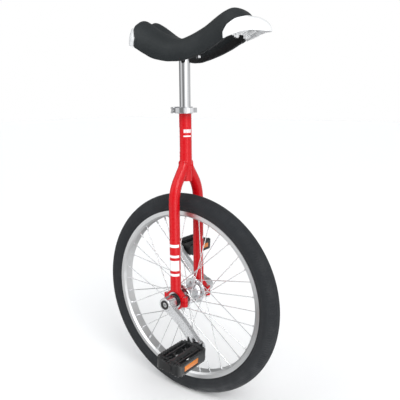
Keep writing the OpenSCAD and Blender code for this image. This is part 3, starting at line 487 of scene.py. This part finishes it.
FINISHES = {
    "leg_enamel": leg_enamel(),
    "tube_enamel": tube_enamel(),
    "enamel": enamel("red_enamel").made,
    "chrome": chrome(),
    "clamp": alloy("satin_alloy", (0.66, 0.67, 0.69), 0.26, 0.42, long_lines(40, 900, 1800)),
    "rim": alloy("rim_alloy", (0.80, 0.81, 0.82), 0.30, 0.44, round_lines),
    "hub": alloy("hub_alloy", (0.72, 0.73, 0.75), 0.22, 0.36, round_lines, 0.15),
    "spoke": alloy("stainless_wire", (0.84, 0.85, 0.86), 0.18, 0.30, long_lines(1500, 60, 1500)),
    "crank": alloy("forged_alloy", (0.74, 0.75, 0.77), 0.20, 0.34, long_lines(350, 1200, 350), 0.12),
    "zinc": alloy("zinc_plate", (0.74, 0.75, 0.76), 0.22, 0.38, long_lines(800, 800, 800), 0.2),
    "steel": alloy("bearing_steel", (0.62, 0.63, 0.65), 0.10, 0.22, round_lines),
    "dark_steel": alloy("blackened_steel", (0.10, 0.10, 0.11), 0.30, 0.5, round_lines, 0.3),
    "brass": alloy("pressed_brass", (0.72, 0.52, 0.20), 0.25, 0.4, round_lines, 0.2),
    "black_rubber": rubber("seal_rubber", (0.028, 0.026, 0.025), 1200).made,
    "tyre": tyre_rubber(),
    "tube_rubber": rubber("tube_rubber", (0.02, 0.02, 0.022), 400).made,
    "pedal": moulded_plastic("pedal_plastic", (0.014, 0.015, 0.016), 0.26, 0.46, 1300).made,
    "black_plastic": moulded_plastic("black_plastic", (0.012, 0.012, 0.013)).made,
    "grey_plastic": moulded_plastic("grey_plastic", (0.20, 0.20, 0.21)).made,
    "base": base_plastic(),
    "vinyl": vinyl(),
    "white": white_plastic(),
    "amber": amber(),
}

NODE_FINISH = {
    "tube_enamel": ["seat_tube"],
    "leg_enamel": ["fork_leg_right", "fork_leg_left"],
    "enamel": ["bearing_holder_right", "bearing_holder_left", "bearing_cap_right", "bearing_cap_left"],
    "zinc": ["cap_bolts", "clamp_skewer", "cam_pin", "nipples", "valve_nut", "crank_bolts",
             "saddle_bolts", "saddle_nuts", "handle_screws"],
    "steel": ["outer_races", "inner_races", "bearing_balls_right", "bearing_balls_left",
              "pedal_bearings_right", "pedal_bearings_left"],
    "black_rubber": ["bearing_seals", "valve_stem"],
    "clamp": ["clamp_collar", "thumb_nut"],
    "grey_plastic": ["cam_washer", "rim_tape"],
    "chrome": ["release_lever", "seat_post"],
    "brass": ["bearing_cage_right", "bearing_cage_left"],
    "dark_steel": ["axle", "bearing_spacers", "axle_collars", "pedal_spindle_right", "pedal_spindle_left",
                   "saddle_plate"],
    "hub": ["hub_shell"],
    "spoke": ["spokes"],
    "rim": ["rim"],
    "tube_rubber": ["inner_tube"],
    "tyre": ["tyre"],
    "crank": ["crank_right", "crank_left"],
    "black_plastic": ["dust_caps", "pedal_end_cap_right", "pedal_end_cap_left"],
    "pedal": ["pedal_body_right", "pedal_body_left"],
    "amber": ["pedal_reflectors_right", "pedal_reflectors_left"],
    "base": ["saddle_base", "saddle_foam"],
    "vinyl": ["saddle_cover"],
    "white": ["front_handle", "rear_bumper"],
}
for finish_name, node_names in NODE_FINISH.items():
    for node_name in node_names:
        for slot in NODES[node_name].material_slots:
            slot.material = FINISHES[finish_name]


# ---------------------------------------------------------------- tyre
def make_tyre():
    """Tyre: a closed section carried round the axle. The outside is a near-circle of radius 23.4 by 22,
    turned 122 degrees each way, then down to the bead and back inside. Grooves are cut into the tread
    as a depth that depends on the angle across and the angle round."""
    rise, half, wall = 23.4, 22.0, 3.0
    centre = TYRE_R - rise
    bead, lip, seat = 203.1, 211.5, 13.8
    turn = np.radians(122)
    steps = 1008
    across = np.linspace(turn, -turn, 81)
    back = np.linspace(-turn, turn, 12)
    round_at = np.linspace(0, 2 * np.pi, steps, endpoint=False)
    a, u = np.meshgrid(across, round_at)
    degrees = np.abs(np.degrees(a))
    depth = np.zeros_like(a)
    for middle in (8.0, 21.0):
        depth = np.maximum(depth, 1.1 * np.exp(-((degrees - middle) / 2.4) ** 4))
    pitch = 4 * np.arange(steps)[:, None] % 16 / 16
    lug = np.where((pitch > 0.7) & (degrees > 42) & (degrees < 66), 1.2, 0.0)
    slant = (np.arange(steps)[:, None] + np.rint(degrees / 3.0)) % 8
    sipe = np.where((slant < 1) & (degrees > 24) & (degrees < 40), 0.8, 0.0)
    rim_line = 0.5 * np.exp(-((degrees - 70) / 2.0) ** 2) - 0.5 * np.exp(-((degrees - 100) / 2.5) ** 2)
    depth = np.maximum(np.maximum(depth, lug), sipe) + rim_line
    radius = centre + (rise - depth) * np.cos(a)
    side = (half - depth * 0.9) * np.sin(a)
    edge = np.array([[lip, -seat], [bead, -seat], [bead, -seat + wall], [bead + 5, -seat + wall]])
    inner = np.stack([centre + (rise - 4) * np.cos(back), (half - 2.5) * np.sin(back)], -1)
    fixed = np.vstack([edge, inner, (edge * [1, -1])[::-1]])
    radius = np.hstack([radius, np.broadcast_to(fixed[:, 0], (steps, len(fixed)))])
    side = np.hstack([side, np.broadcast_to(fixed[:, 1], (steps, len(fixed)))])
    u = round_at[:, None]
    rings = np.stack([radius * np.cos(u), side + AXLE[1], AXLE[2] + radius * np.sin(u)], -1)
    points, faces = closed_loft(rings, closed=True)
    made = piece("tyre_casing", "wheel", FINISHES["tyre"], points, faces)
    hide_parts("tyre")


make_tyre()

# ---------------------------------------------------------------- saddle
SADDLE_TOP = [(-129, 58), (-125, 74), (-118, 86), (-108, 94), (-98, 97), (-82, 90), (-59, 76), (-38, 64),
              (-16, 55), (5, 52), (23, 56), (44, 63), (72, 75), (100, 91), (119, 100), (138, 104), (158, 96),
              (171, 83), (194, 76), (209, 66), (216, 56)]
SADDLE_EDGE = [(-129, 43), (-117, 41), (-104, 38), (-90, 32.5), (-64, 18.5), (-43, 8), (-14, 1.5), (0, 0.5),
               (25, 1.5), (65, 10.5), (100, 23), (120, 33), (138, 41), (155, 46), (170, 50), (190, 53),
               (216, 51)]
SADDLE_HALF = [(-129, 22), (-125, 38), (-117, 51), (-106, 60), (-92, 66), (-72, 67), (-50, 64), (-30, 59),
               (0, 51), (25, 44), (65, 40.5), (100, 42), (130, 44), (150, 44), (170, 39), (190, 29),
               (205, 18), (216, 6)]
HANDLE_LINE = [(137, 20), (134, 52), (143, 66), (158, 76), (180, 84), (260, 84), (260, 0), (137, 0)]
BUMPER_LINE = [(-96, 20), (-95, 36), (-91, 53), (-97, 67), (-106, 78), (-150, 84), (-150, 0), (-96, 0)]
HANDLE_REACH, BUMPER_REACH = (128.0, 214.0), (-84.0, -127.5)
MOULDING_WALL, PARTING_LAP = 3.2, 0.6
SKIN_REAR, HEM_R, TUCK = -126.5, 3.6, 4.0
LINING_DROP, PAN_DROP, PAN_INSET, PAN_WALL = 23.0, 23.5, 7.6, 2.6
STAPLE_PITCH, STAPLE_WIDTH, STAPLE_INSET = 17.0, 9.0, 8.6
FULLNESS = 2.5


def inside_depth(line, x, z):
    """Distance from a closed outline in the side view, positive inside: nearest of its straight sides."""
    line = np.array(line, float)
    ends = np.roll(line, -1, 0)
    place = np.stack([x, z], -1)[..., None, :]
    run = ends - line
    t = np.clip(((place - line) * run).sum(-1) / (run**2).sum(-1), 0, 1)
    near = np.linalg.norm(place - line - t[..., None] * run, axis=-1).min(-1)
    crosses = (line[:, 1] > place[..., 1]) != (ends[:, 1] > place[..., 1])
    span = np.where(np.abs(run[:, 1]) < 1e-9, 1e-9, run[:, 1])
    left = place[..., 0] < line[:, 0] + (place[..., 1] - line[:, 1]) / span * run[:, 0]
    inside = (crosses & left).sum(-1) % 2 == 1
    return np.where(inside, near, -near)


def valley(x, y):
    """Hollow along the middle of the rear half, with a low crown on each side of it."""
    where = ease((-25 - x) / 45)
    return where * (-7.0 * np.exp(-(y / 12.0) ** 2) + 1.0 * np.exp(-((np.abs(y) - 32) / 17.0) ** 2))


def arch(x, a, side=0.0, top=0.0, shaped=1.0):
    """Saddle section at x: a rounded arch over the lower edge, set in by side and top. a runs from 0 at the
    rider's left edge to pi at the right one."""
    half = smooth_line(SADDLE_HALF, x) - side
    edge = smooth_line(SADDLE_EDGE, x)
    height = smooth_line(SADDLE_TOP, x) - edge - top
    c, s = np.cos(a), np.sin(a)
    y = half * np.sign(c) * np.abs(c) ** (2 / FULLNESS)
    z = edge + height * np.maximum(s, 0) ** (2 / FULLNESS)
    return y, z + shaped * valley(x, y) * ease(np.maximum(s, 0) * 1.6)


def spread(count):
    """Angles over an arch with more of them near its two edges, where the section turns down."""
    t = np.linspace(0, 1, count)
    return np.pi * (t - 0.11 * np.sin(4 * np.pi * t) / 2)


def crossing(line, a, start, stop):
    """For each angle of the arch, the first x from start to stop at which the skin is inside an outline."""
    fine = np.linspace(start, stop, 700)
    fx, fa = np.meshgrid(fine, a, indexing="ij")
    inside = inside_depth(line, fx, arch(fx, fa)[1]) > PARTING_LAP
    return fine[np.argmax(inside, axis=0)]


def saddle_skin():
    """Padded cover: at each station the outer arch, a rolled edge and the inner arch. It runs from under the
    rear moulding to under the front one, sinks where it goes under them, swells just before, and has
    shallow puckers over the fixing points along its lower edge."""
    stations, across, rolled = 250, 121, 9
    a = spread(across)[None, :]
    low = 1 - ease(np.sin(a) * 3.0)
    start = np.maximum(crossing(BUMPER_LINE, a[0], *BUMPER_REACH) - TUCK, SKIN_REAR)
    stop = crossing(HANDLE_LINE, a[0], *HANDLE_REACH) + TUCK
    t = np.linspace(0, 1, stations)[:, None]
    x = start + (stop - start) * t
    y, z = arch(x, a)
    inside = np.maximum(inside_depth(HANDLE_LINE, x, z), inside_depth(BUMPER_LINE, x, z))
    pucker = 0.3 * low * (0.5 + 0.5 * np.cos(2 * np.pi * x / 31.0)) ** 3
    soft = 0.4 * np.sin(x / 23.0 + 2.1 * np.cos(a)) * np.sin(a) + 0.15 * np.sin(x / 9.0 + 5 * a) * low
    push = 1.0 * np.exp(-((inside + 5) / 4.0) ** 2) - 4.2 * ease((inside + 1.0) / 3.0) + soft - pucker
    slope, run = np.gradient(z, axis=1), np.gradient(y, axis=1)
    length = np.maximum(np.hypot(slope, run), 1e-6)
    y, z = y + slope / length * push, z - run / length * push
    lift = (0.9 * HEM_R + 3.0 * ease(inside / 2.0)) * low
    outside = np.stack([x, y, SADDLE_Z + z + lift], -1)
    iy, iz = arch(x, a, 2 * HEM_R, LINING_DROP, 0.0)
    lining = np.stack([x, iy, SADDLE_Z + np.maximum(iz, z[:, :1]) + lift], -1)[:, ::-1]

    def hem(first, last):
        """Half circle below the edge from one skin to the other."""
        turn = np.linspace(0, np.pi, rolled + 2)[None, 1:-1, None]
        middle, reach = (first + last) / 2, (first - last) / 2
        drop = np.zeros_like(middle)
        drop[..., 2] = -np.linalg.norm(reach, axis=-1)
        return middle + reach * np.cos(turn) + drop * np.sin(turn) * 0.9

    rings = np.concatenate([outside, hem(outside[:, -1:], lining[:, :1]), lining,
                            hem(lining[:, -1:], outside[:, :1])], axis=1)
    rows, cols = rings.shape[:2]
    faces = grid_faces(rows, cols, close_cols=True).tolist()
    k = np.arange(across - 1)
    pair = 2 * across + rolled - 1 - k
    for row, turned_over in ((0, 1), (rows - 1, -1)):
        first = row * cols
        faces += (first + np.stack([k, k + 1, pair - 1, pair], -1)[:, ::turned_over]).tolist()
        for low_edge in (np.arange(across - 1, across + rolled + 1),
                         np.append(np.arange(cols - rolled - 1, cols), 0)):
            faces.append((first + low_edge[::turned_over]).tolist())
    made = piece("saddle_padding", "seat", FINISHES["vinyl"], rings.reshape(-1, 3), faces)
    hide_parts("saddle_cover", "saddle_foam")


def shell(name, finish, rings, thickness, bevel, inward):
    """Open skin of rings of points, thickened inwards and with its edges rounded over."""
    rings = np.asarray(rings)
    faces = grid_faces(*rings.shape[:2])
    if not inward:
        faces = faces[:, ::-1]
    made = piece(name, "seat", finish, rings.reshape(-1, 3), faces, outward=False)
    wall = made.modifiers.new("wall", "SOLIDIFY")
    wall.thickness = thickness * MM
    wall.offset = -1.0
    wall.use_even_offset = True
    soft = made.modifiers.new("edges", "BEVEL")
    soft.width = bevel * MM
    soft.segments = 3
    soft.limit_method = "ANGLE"
    soft.angle_limit = np.radians(50)
    return made


def end_moulding(name, node, line, start, stop, rows, cols):
    """End moulding: for each angle of the arch, the skin from where it first comes inside the parting outline
    to the saddle's end, so that its border follows the outline. Rings that shrink towards the middle of the
    last section close the end with a low crown."""
    a = spread(cols)
    first = crossing(line, a, start, stop)
    t = np.linspace(0, 1, rows)[:, None]
    x = first + (stop - first) * t
    y, z = arch(x, a[None, :] + 0 * x)
    rings = np.stack([x, y, SADDLE_Z + z], -1)
    heart = np.array([stop, 0.0, SADDLE_Z + smooth_line(SADDLE_EDGE, stop) + 1.0])
    closing = np.linspace(0, 1, 9)[1:, None, None]
    end = heart + (rings[-1:] - heart) * (1 - 0.985 * closing)
    end[..., 0] += np.sign(stop - start) * 1.6 * np.sin(closing[..., 0] * np.pi / 2)
    made = shell(name, FINISHES["white"], np.vstack([rings, end]), MOULDING_WALL, 0.9, stop > start)
    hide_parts(node)
    return made


def saddle_pan():
    """Base under the padding: an arch shell with shallow cross ribs, from the rear to the front moulding, and
    four bosses that carry it on the plate's bolts."""
    a = spread(91)[None, :]
    first = crossing(BUMPER_LINE, a[0], *BUMPER_REACH) + 2
    last = np.minimum(crossing(HANDLE_LINE, a[0], *HANDLE_REACH) - 2, 160.0)
    t = np.linspace(0, 1, 220)[:, None]
    x = first + (last - first) * t
    y, z = arch(x, a, PAN_INSET, PAN_DROP, 0.0)
    rib = 1.0 * np.exp(-(((x + 120) % 34 - 17) / 1.6) ** 4) * np.sin(a) ** 2
    rings = np.stack([x, y, SADDLE_Z + z - rib + 2.5], -1)
    made = shell("saddle_pan", FINISHES["base"], rings, PAN_WALL, 0.6, True)
    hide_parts("saddle_base")
    bolt = box_mm("saddle_bolts")[1] - 3.0
    low = box_mm("saddle_plate")[1][2] + 0.2
    posts = [hollow_post((sx * bolt[0], sy * bolt[1], 0), low, SADDLE_Z + 32, 7.0, 3.2)
             for sx in (-1, 1) for sy in (-1, 1)]
    piece("pan_bosses", "seat", FINISHES["base"], *join(*posts))


def hollow_post(at, low, high, outer, inner):
    """Moulded boss: a tube with a rounded mouth that widens into a foot at its top."""
    return turned([(low + 1.0, outer - 0.2), (low + 0.2, outer - 0.8), (low, inner + 0.8), (low + 0.6, inner),
                   (high, inner), (high, outer + 2.6), (high - 1.5, outer + 1.0), (high - 4, outer + 0.1)],
                  at, (0, 0, 1), 32)


def plate(corners, thickness):
    """Thin rib: a flat outline of corners in space, thickened both ways square to itself, edges chamfered."""
    corners = np.array(corners, float)
    across = np.cross(corners[1] - corners[0], corners[2] - corners[0])
    across /= np.linalg.norm(across)
    middle = corners.mean(0)
    shrunk = middle + (corners - middle) * (1 - 0.5 / np.linalg.norm(corners - middle, axis=1, keepdims=True))
    half = thickness / 2
    return closed_loft([shrunk - half * across, corners - (half - 0.4) * across,
                        corners + (half - 0.4) * across, shrunk + half * across])


def handle_fittings():
    """Inside of the front moulding: a cross web, two screw bosses and short ribs that tie them to it."""
    screw_low, screw_high = box_mm("handle_screws")
    x, y = (screw_low[0] + screw_high[0]) / 2, screw_high[1] - 3.5
    low, high, wall, rib = screw_low[2] + 1.5, screw_low[2] + 21.5, 36.0, 2.2
    parts = []
    for side in (-1, 1):
        parts.append(hollow_post((x, side * y, 0), low, high, 5.4, 2.9))
        parts.append(plate([(x, side * (y + 4), low + 2), (x, side * wall, low + 3),
                            (x, side * wall, high - 2), (x, side * (y + 4), high - 2)], rib))
        parts.append(plate([(x + 4, side * y, low + 3), (x + 26, side * (y - 3), low + 12),
                            (x + 26, side * (y - 3), high), (x + 4, side * y, high)], rib))
    parts.append(plate([(x, 5 - y, low + 6), (x, y - 5, low + 6), (x, y - 5, high), (x, 5 - y, high)], rib))
    piece("handle_fittings", "seat", FINISHES["white"], *join(*parts))


def cover_staples():
    """Wire staples that hold the cover's hem to the base, along both lower edges."""
    parts = []
    t = np.linspace(0, 1, 7)
    for side in (-1, 1):
        for x in np.arange(-78.0, 128.0, STAPLE_PITCH):
            at = x + STAPLE_WIDTH * (t - 0.5)
            y = side * (smooth_line(SADDLE_HALF, at) - STAPLE_INSET)
            z = SADDLE_Z + smooth_line(SADDLE_EDGE, at) + 0.8 + 1.6 * (2 * t - 1) ** 8
            parts.append(tube(np.stack([at, y, z], -1), 0.6, 6))
    piece("cover_staples", "seat", FINISHES["dark_steel"], *join(*parts))


saddle_skin()
end_moulding("handle_moulding", "front_handle", HANDLE_LINE, *HANDLE_REACH, 70, 121)
end_moulding("bumper_moulding", "rear_bumper", BUMPER_LINE, *BUMPER_REACH, 60, 121)
saddle_pan()
handle_fittings()
cover_staples()


# ---------------------------------------------------------------- pedals
PEDAL_BOX = box_mm("pedal_body_right")
PEDAL_INNER, PEDAL_LEN = -PEDAL_BOX[1][1], PEDAL_BOX[1][1] - PEDAL_BOX[0][1]
PEDAL_HALF, PEDAL_RISE, RAIL = 33.0, 14.0, 6.0
PEDAL_TILT, TEETH = np.radians(-4), 42
LENS_LENGTH, LENS_HEIGHT, REFLECTOR_AT = 46, 12, 8.0


def pedal_place(points, side):
    """From a pedal's own place (forward, up, outward from the crank) to the whole object's: turned a little
    about the spindle. The left pedal is the right one turned over through the middle of the axle."""
    forward, up, out = np.moveaxis(np.asarray(points, float), -1, 0)
    spindle = JOINT_AT["pedal_spin_right"]
    c, s = np.cos(PEDAL_TILT), np.sin(PEDAL_TILT)
    placed = np.stack([spindle[0] + forward * c - up * s, -(PEDAL_INNER + out),
                       spindle[2] + forward * s + up * c], -1)
    return placed if side == "right" else 2 * AXLE - placed


def pedal_loop():
    """Cage of a pedal: a rounded rectangle walked at even steps, with a rail section whose height swings
    between tooth and notch, and whose outer face steps back for the reflectors."""
    steps = 720
    width, length, corner = 2 * PEDAL_HALF - RAIL, PEDAL_LEN - RAIL, 9.0
    outline = rounded_box(width, length, corner, 12)
    outline = np.vstack([outline, outline[:1]])
    gone = np.concatenate([[0], np.cumsum(np.linalg.norm(np.diff(outline, axis=0), axis=1))])
    walk = np.linspace(0, gone[-1], steps, endpoint=False)
    flat = np.stack([np.interp(walk, gone, outline[:, k]) for k in (0, 1)], -1)
    ahead = np.roll(flat, -1, 0) - np.roll(flat, 1, 0)
    ahead /= np.linalg.norm(ahead, axis=1, keepdims=True)
    outward = np.stack([ahead[:, 1], -ahead[:, 0]], -1)
    swing = np.sin(2 * np.pi * walk / gone[-1] * TEETH)
    at_end = ease((np.abs(flat[:, 1]) - length / 2 + 4) / 4)
    dip = 3.5 * at_end * np.exp(-(flat[:, 0] / 15.0) ** 2) * (flat[:, 1] > 0)
    high = PEDAL_RISE - 2.3 + 2.3 * np.clip(0.5 + 2.0 * swing, 0, 1) - dip
    near_reflector = ease((LENS_LENGTH / 2 + 1.2 - np.abs(flat[:, 1] - REFLECTOR_AT)) / 0.9)
    near_reflector = near_reflector * (np.abs(flat[:, 0]) > width / 2 - 1)
    face = RAIL / 2
    pocket = face - 3.2 * near_reflector
    low, inset = -high, face - 1.2
    across = [face, face, pocket, pocket, face, face, inset, -inset, -face, -face, -inset, inset]
    up = [low + 1.2, -6.5, -6.4, 6.4, 6.5, high - 1.2, high, high, high - 1.2, low + 1.2, low, low]
    profile = np.stack([np.stack([value + 0 * high for value in line], -1) for line in (across, up)], -1)
    upright = np.tile([0.0, 1.0, 0.0], (steps, 1))
    path, sideways = [np.insert(line, 1, 0.0, axis=1) for line in (flat, outward)]
    return sweep(path + [0, 0, PEDAL_LEN / 2], sideways, upright, profile, closed=True)


def pedal_bar(start, end, thick, height, bow=0.0):
    """Rib between two points in a pedal: a rounded section that is lower by bow in the middle of its run."""
    start, end = np.array(start, float), np.array(end, float)
    t = np.linspace(0, 1, 17)[:, None]
    path = start + (end - start) * t
    ahead = (end - start) / np.linalg.norm(end - start)
    across = np.cross([0.0, 1.0, 0.0], ahead)
    section = rounded_box(1.0, 1.0, 0.12, 3)
    tall = height - bow * np.sin(np.pi * t)
    profile = np.stack([thick * section[None, :, 0] + 0 * t, tall * section[None, :, 1]], -1)
    return sweep(path, np.tile(across, (17, 1)), np.tile([0.0, 1.0, 0.0], (17, 1)), profile)


def pedal_body():
    """Every part of one pedal in its own place: cage, barrel, cross ribs, corner braces and end plates."""
    end = PEDAL_LEN - 6
    barrel = turned([(0, 9.3), (0, 10.6), (1, 11.2), (5, 11.2), (8, 9.8), (30, 9.2), (62, 9.2), (80, 10.0),
                     (84, 11.6), (end, 11.6), (end + 1.4, 10.9), (end + 1.4, 9.3), (80, 9.3), (80, 6.6),
                     (8, 6.6), (8, 9.3)], (0, 0, 0), (0, 0, 1), 40)
    parts = [pedal_loop(), barrel]
    for side in (-1, 1):
        for along in (0.34, 0.62):
            out = PEDAL_LEN * along
            parts.append(pedal_bar((side * 8.6, 0, out), (side * 28.5, 0, out), 3.4, 20, 5))
        parts.append(pedal_bar((side * 9, 0, 71), (side * 28, 0, PEDAL_LEN - 9), 4.2, 21, 4))
        parts.append(pedal_bar((side * 9, 0, 24), (side * 27, 0, 7), 4.0, 18, 4))
        parts.append(pedal_bar((side * 10, 0, PEDAL_LEN - 14), (side * 28, 0, PEDAL_LEN - 14), 7.0, 22, 2))
        parts.append(pedal_bar((side * 13, 9, 3), (side * 20, 17.5, 2.6), 5.2, 13))
        for up in (-1, 1):
            parts.append(pedal_bar((side * 18, up * 9.5, 14), (side * 18, up * 9.5, PEDAL_LEN - 18), 3.0, 5))
    return join(*parts)


def pedals():
    """Both pedals' bodies, and the reflectors: crowned lenses in a stepped frame, in the rails' pockets."""
    points, faces = pedal_body()
    for side in ("right", "left"):
        made = piece("pedal_cage_" + side, "pedal_" + side, FINISHES["pedal"],
                     pedal_place(points, side), faces)
        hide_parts("pedal_body_" + side)
        lenses = []
        for front in (-1, 1):
            rings = []
            for depth, trim in ((3.0, 0.0), (0.5, 0.0), (0.15, 0.35), (0.35, 1.1), (0.0, 1.5)):
                flat = rounded_box(LENS_LENGTH - 2 * trim, LENS_HEIGHT - 2 * trim, max(1.6 - trim, 0.3), 3)
                rings.append(np.stack([front * (PEDAL_HALF - depth) + 0 * flat[:, 0], flat[:, 1],
                                       REFLECTOR_AT + PEDAL_LEN / 2 + flat[:, 0]], -1))
            lenses.append(closed_loft(rings))
        lens_points, lens_faces = join(*lenses)
        lens = piece("pedal_lenses_" + side, "pedal_" + side, FINISHES["amber"],
                     pedal_place(lens_points, side), lens_faces)
        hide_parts("pedal_reflectors_" + side)


pedals()


# ---------------------------------------------------------------- welds
WELD_CLEAR, WELD_POINTS = 1.2, 96


def crown_weld(side):
    """Bead where a leg meets the seat tube. The leg is a straight run at lean, then an arc of radius bend
    that turns it to tip_lean. At each angle round the leg, the bead lies at the first place, going up,
    where the leg's surface comes within WELD_CLEAR of the tube."""
    lean, tip_lean, bend, leg_in, tip = np.radians(36), np.radians(16), 90.0, 0.5, TUBE_BOTTOM + 52
    straight = np.linspace(40, 0, 400)
    turn = np.linspace(lean, tip_lean, 400)
    y_turn = leg_in + bend * (np.cos(tip_lean) - np.cos(turn))
    z_turn = tip - bend * (np.sin(turn) - np.sin(tip_lean))
    centre_y = np.concatenate([y_turn[0] + straight * np.sin(lean), y_turn])
    centre_z = np.concatenate([z_turn[0] - straight * np.cos(lean), z_turn])
    angle = np.concatenate([np.full(400, lean), turn])[:, None]
    k = np.arange(WELD_POINTS)
    around = (2 * np.pi * k / WELD_POINTS)[None, :]
    x = LEG_R * np.cos(around) + 0 * angle
    y = centre_y[:, None] + LEG_R * np.sin(around) * np.cos(angle)
    z = centre_z[:, None] + LEG_R * np.sin(around) * np.sin(angle)
    hit = np.argmax(np.hypot(x, y) < TUBE_R + WELD_CLEAR, axis=0)
    path = np.stack([x[hit, k], side * y[hit, k], z[hit, k]], -1)
    return tube(path, 1.9 + 0.25 * np.sin(k * 2.1), 10, closed=True)


def holder_weld(side):
    """Bead where a leg's foot meets its bearing holder: round the leg, limited to the holder's width."""
    reach, holder_r = 7.0, 25.0
    k = np.arange(WELD_POINTS)
    around = 2 * np.pi * k / WELD_POINTS
    x = LEG_R * np.cos(around)
    y = np.clip(LEG_R * np.sin(around), -reach, reach)
    z = AXLE[2] + np.sqrt(holder_r**2 - x**2) + 0.2
    path = np.stack([x, side * (BEARING_Y + y), z], -1)
    return tube(path, 1.5 + 0.2 * np.sin(k * 2.3), 10, closed=True)


points, faces = join(*[maker(side) for maker in (crown_weld, holder_weld) for side in (-1, 1)])
piece("weld_beads", "frame", FINISHES["enamel"], points, faces)


# ---------------------------------------------------------------- studio, camera
ROOM_DARK = 0.30
ROOM_GLOWS = [((0.95, -0.30, 0.0), 0.55, 0.86, 0.9), ((-0.60, -0.80, 0.0), 0.88, 0.985, 0.60),
              ((0.907, -0.421, 0.0), 0.985, 0.998, 2.0), ((0.10, -0.20, 0.97), 0.45, 0.95, 0.35),
              ((0.34, 0.94, 0.0), 0.6, 0.95, 0.45)]


def shine(name, data, at, direction):
    """Puts a light in the scene, shining along a direction."""
    made = bpy.data.objects.new(name, data)
    made.location = at
    made.rotation_mode = "QUATERNION"
    made.rotation_quaternion = direction.to_track_quat("-Z", "Y")
    bpy.context.scene.collection.objects.link(made)


def area_light(name, at, towards, size, power):
    """Soft box at one point, facing another."""
    data = bpy.data.lights.new(name, "AREA")
    data.shape = "RECTANGLE"
    data.size, data.size_y = size
    data.energy = power
    shine(name, data, at, Vector(towards) - Vector(at))


def sun(name, comes_from, strength, spread_degrees):
    """Even light from one side, as wide as the given angle."""
    data = bpy.data.lights.new(name, "SUN")
    data.energy = strength
    data.angle = np.radians(spread_degrees)
    shine(name, data, (0, 0, 0), -Vector(comes_from))


def surround(tree, place):
    """How bright the room is in a direction, for what mirrors it: dark grey, with a wide and a narrow window
    to the right front, a softer one at the rear right, a soft ceiling and a pale wall at the left. Each glow
    is a direction, the nearness to it at which the glow starts and is full, and its power."""
    unit = new_node(tree, "ShaderNodeVectorMath", place, operation="NORMALIZE").outputs[0]
    level = ROOM_DARK
    for towards, low, high, power in ROOM_GLOWS:
        facing = new_node(tree, "ShaderNodeVectorMath", unit, towards,
                          operation="DOT_PRODUCT").outputs["Value"]
        glow = new_node(tree, "ShaderNodeMapRange", facing, low, high, 0.0, power,
                        interpolation_type="SMOOTHSTEP").outputs[0]
        level = new_node(tree, "ShaderNodeMath", level, glow, operation="ADD").outputs[0]
    return level


def choose(tree, ray, first, second):
    """Mixes two shaders by the kind of ray that meets them."""
    path = tree.nodes.new("ShaderNodeLightPath").outputs[ray]
    return new_node(tree, "ShaderNodeMixShader", path, first, second).outputs[0]


def floor():
    """Pale paper floor. What mirrors it sees the brightness of the room behind it instead."""
    half = 14.0
    mesh = bpy.data.meshes.new("floor")
    corners = [(-half, -half, 0), (half, -half, 0), (half, half, 0), (-half, half, 0)]
    mesh.from_pydata(corners, [], [(0, 1, 2, 3)])
    made = bpy.data.objects.new("floor", mesh)
    paper = Finish("floor_paper", (0.94, 0.94, 0.94), 0.95, Specular_IOR_Level=0.0)
    flat = paper.add("ShaderNodeVectorMath", paper.place, (1, 1, 0), operation="MULTIPLY").outputs[0]
    mirrored = paper.add("ShaderNodeEmission")
    paper.feed(mirrored.inputs["Strength"], surround(paper.tree, flat))
    skin = choose(paper.tree, "Is Glossy Ray", paper.shader.outputs[0], mirrored.outputs[0])
    paper.feed(paper.tree.nodes["Material Output"].inputs["Surface"], skin)
    mesh.materials.append(paper.made)
    bpy.context.scene.collection.objects.link(made)


def studio():
    """Floor, an even pale surround that is white where it is seen directly, a soft key light and two wide
    suns."""
    floor()
    world = bpy.context.scene.world or bpy.data.worlds.new("surround")
    bpy.context.scene.world = world
    world.use_nodes = True
    tree = world.node_tree
    tree.nodes.clear()
    out = tree.nodes.new("ShaderNodeOutputWorld")
    seen = new_node(tree, "ShaderNodeBackground", (1, 1, 1, 1))
    lit = new_node(tree, "ShaderNodeBackground", (0.96, 0.98, 1.0, 1), 0.62)
    mirrored = tree.nodes.new("ShaderNodeBackground")
    place = tree.nodes.new("ShaderNodeTexCoord").outputs["Generated"]
    feed(tree, mirrored.inputs["Strength"], surround(tree, place))
    shader = choose(tree, "Is Glossy Ray", lit.outputs[0], mirrored.outputs[0])
    shader = choose(tree, "Is Camera Ray", shader, seen.outputs[0])
    feed(tree, out.inputs[0], shader)
    area_light("key", (2.6, -1.5, 1.9), (0, 0, 0.5), (1.2, 1.6), 22)
    sun("front_sun", (0.75, -0.55, 0.9), 1.35, 40)
    sun("left_sun", (-0.7, -0.7, 0.9), 0.75, 60)


def camera():
    """Camera at the right front, placed round its target by azimuth and elevation, with a slight roll."""
    azimuth, elevation, roll = np.radians([36.281, 11.336, -0.488])
    distance, target = 1199.68, np.array([40.167, 0.0, 492.288])
    back = np.array([np.sin(azimuth) * np.cos(elevation), -np.cos(azimuth) * np.cos(elevation),
                     np.sin(elevation)])
    right = np.array([np.cos(azimuth), np.sin(azimuth), 0.0])
    up = np.cross(back, right)
    right, up = right * np.cos(roll) + up * np.sin(roll), up * np.cos(roll) - right * np.sin(roll)
    data = bpy.data.cameras.new("camera")
    data.lens, data.sensor_width = 46.23, 36.0
    made = bpy.data.objects.new("camera", data)
    turn = Matrix(np.stack([right, up, back], -1).tolist()).to_4x4()
    made.matrix_world = Matrix.Translation((target + distance * back) * MM) @ turn
    bpy.context.scene.collection.objects.link(made)
    bpy.context.scene.camera = made


studio()
camera()
bpy.context.scene.view_settings.view_transform = "Standard"
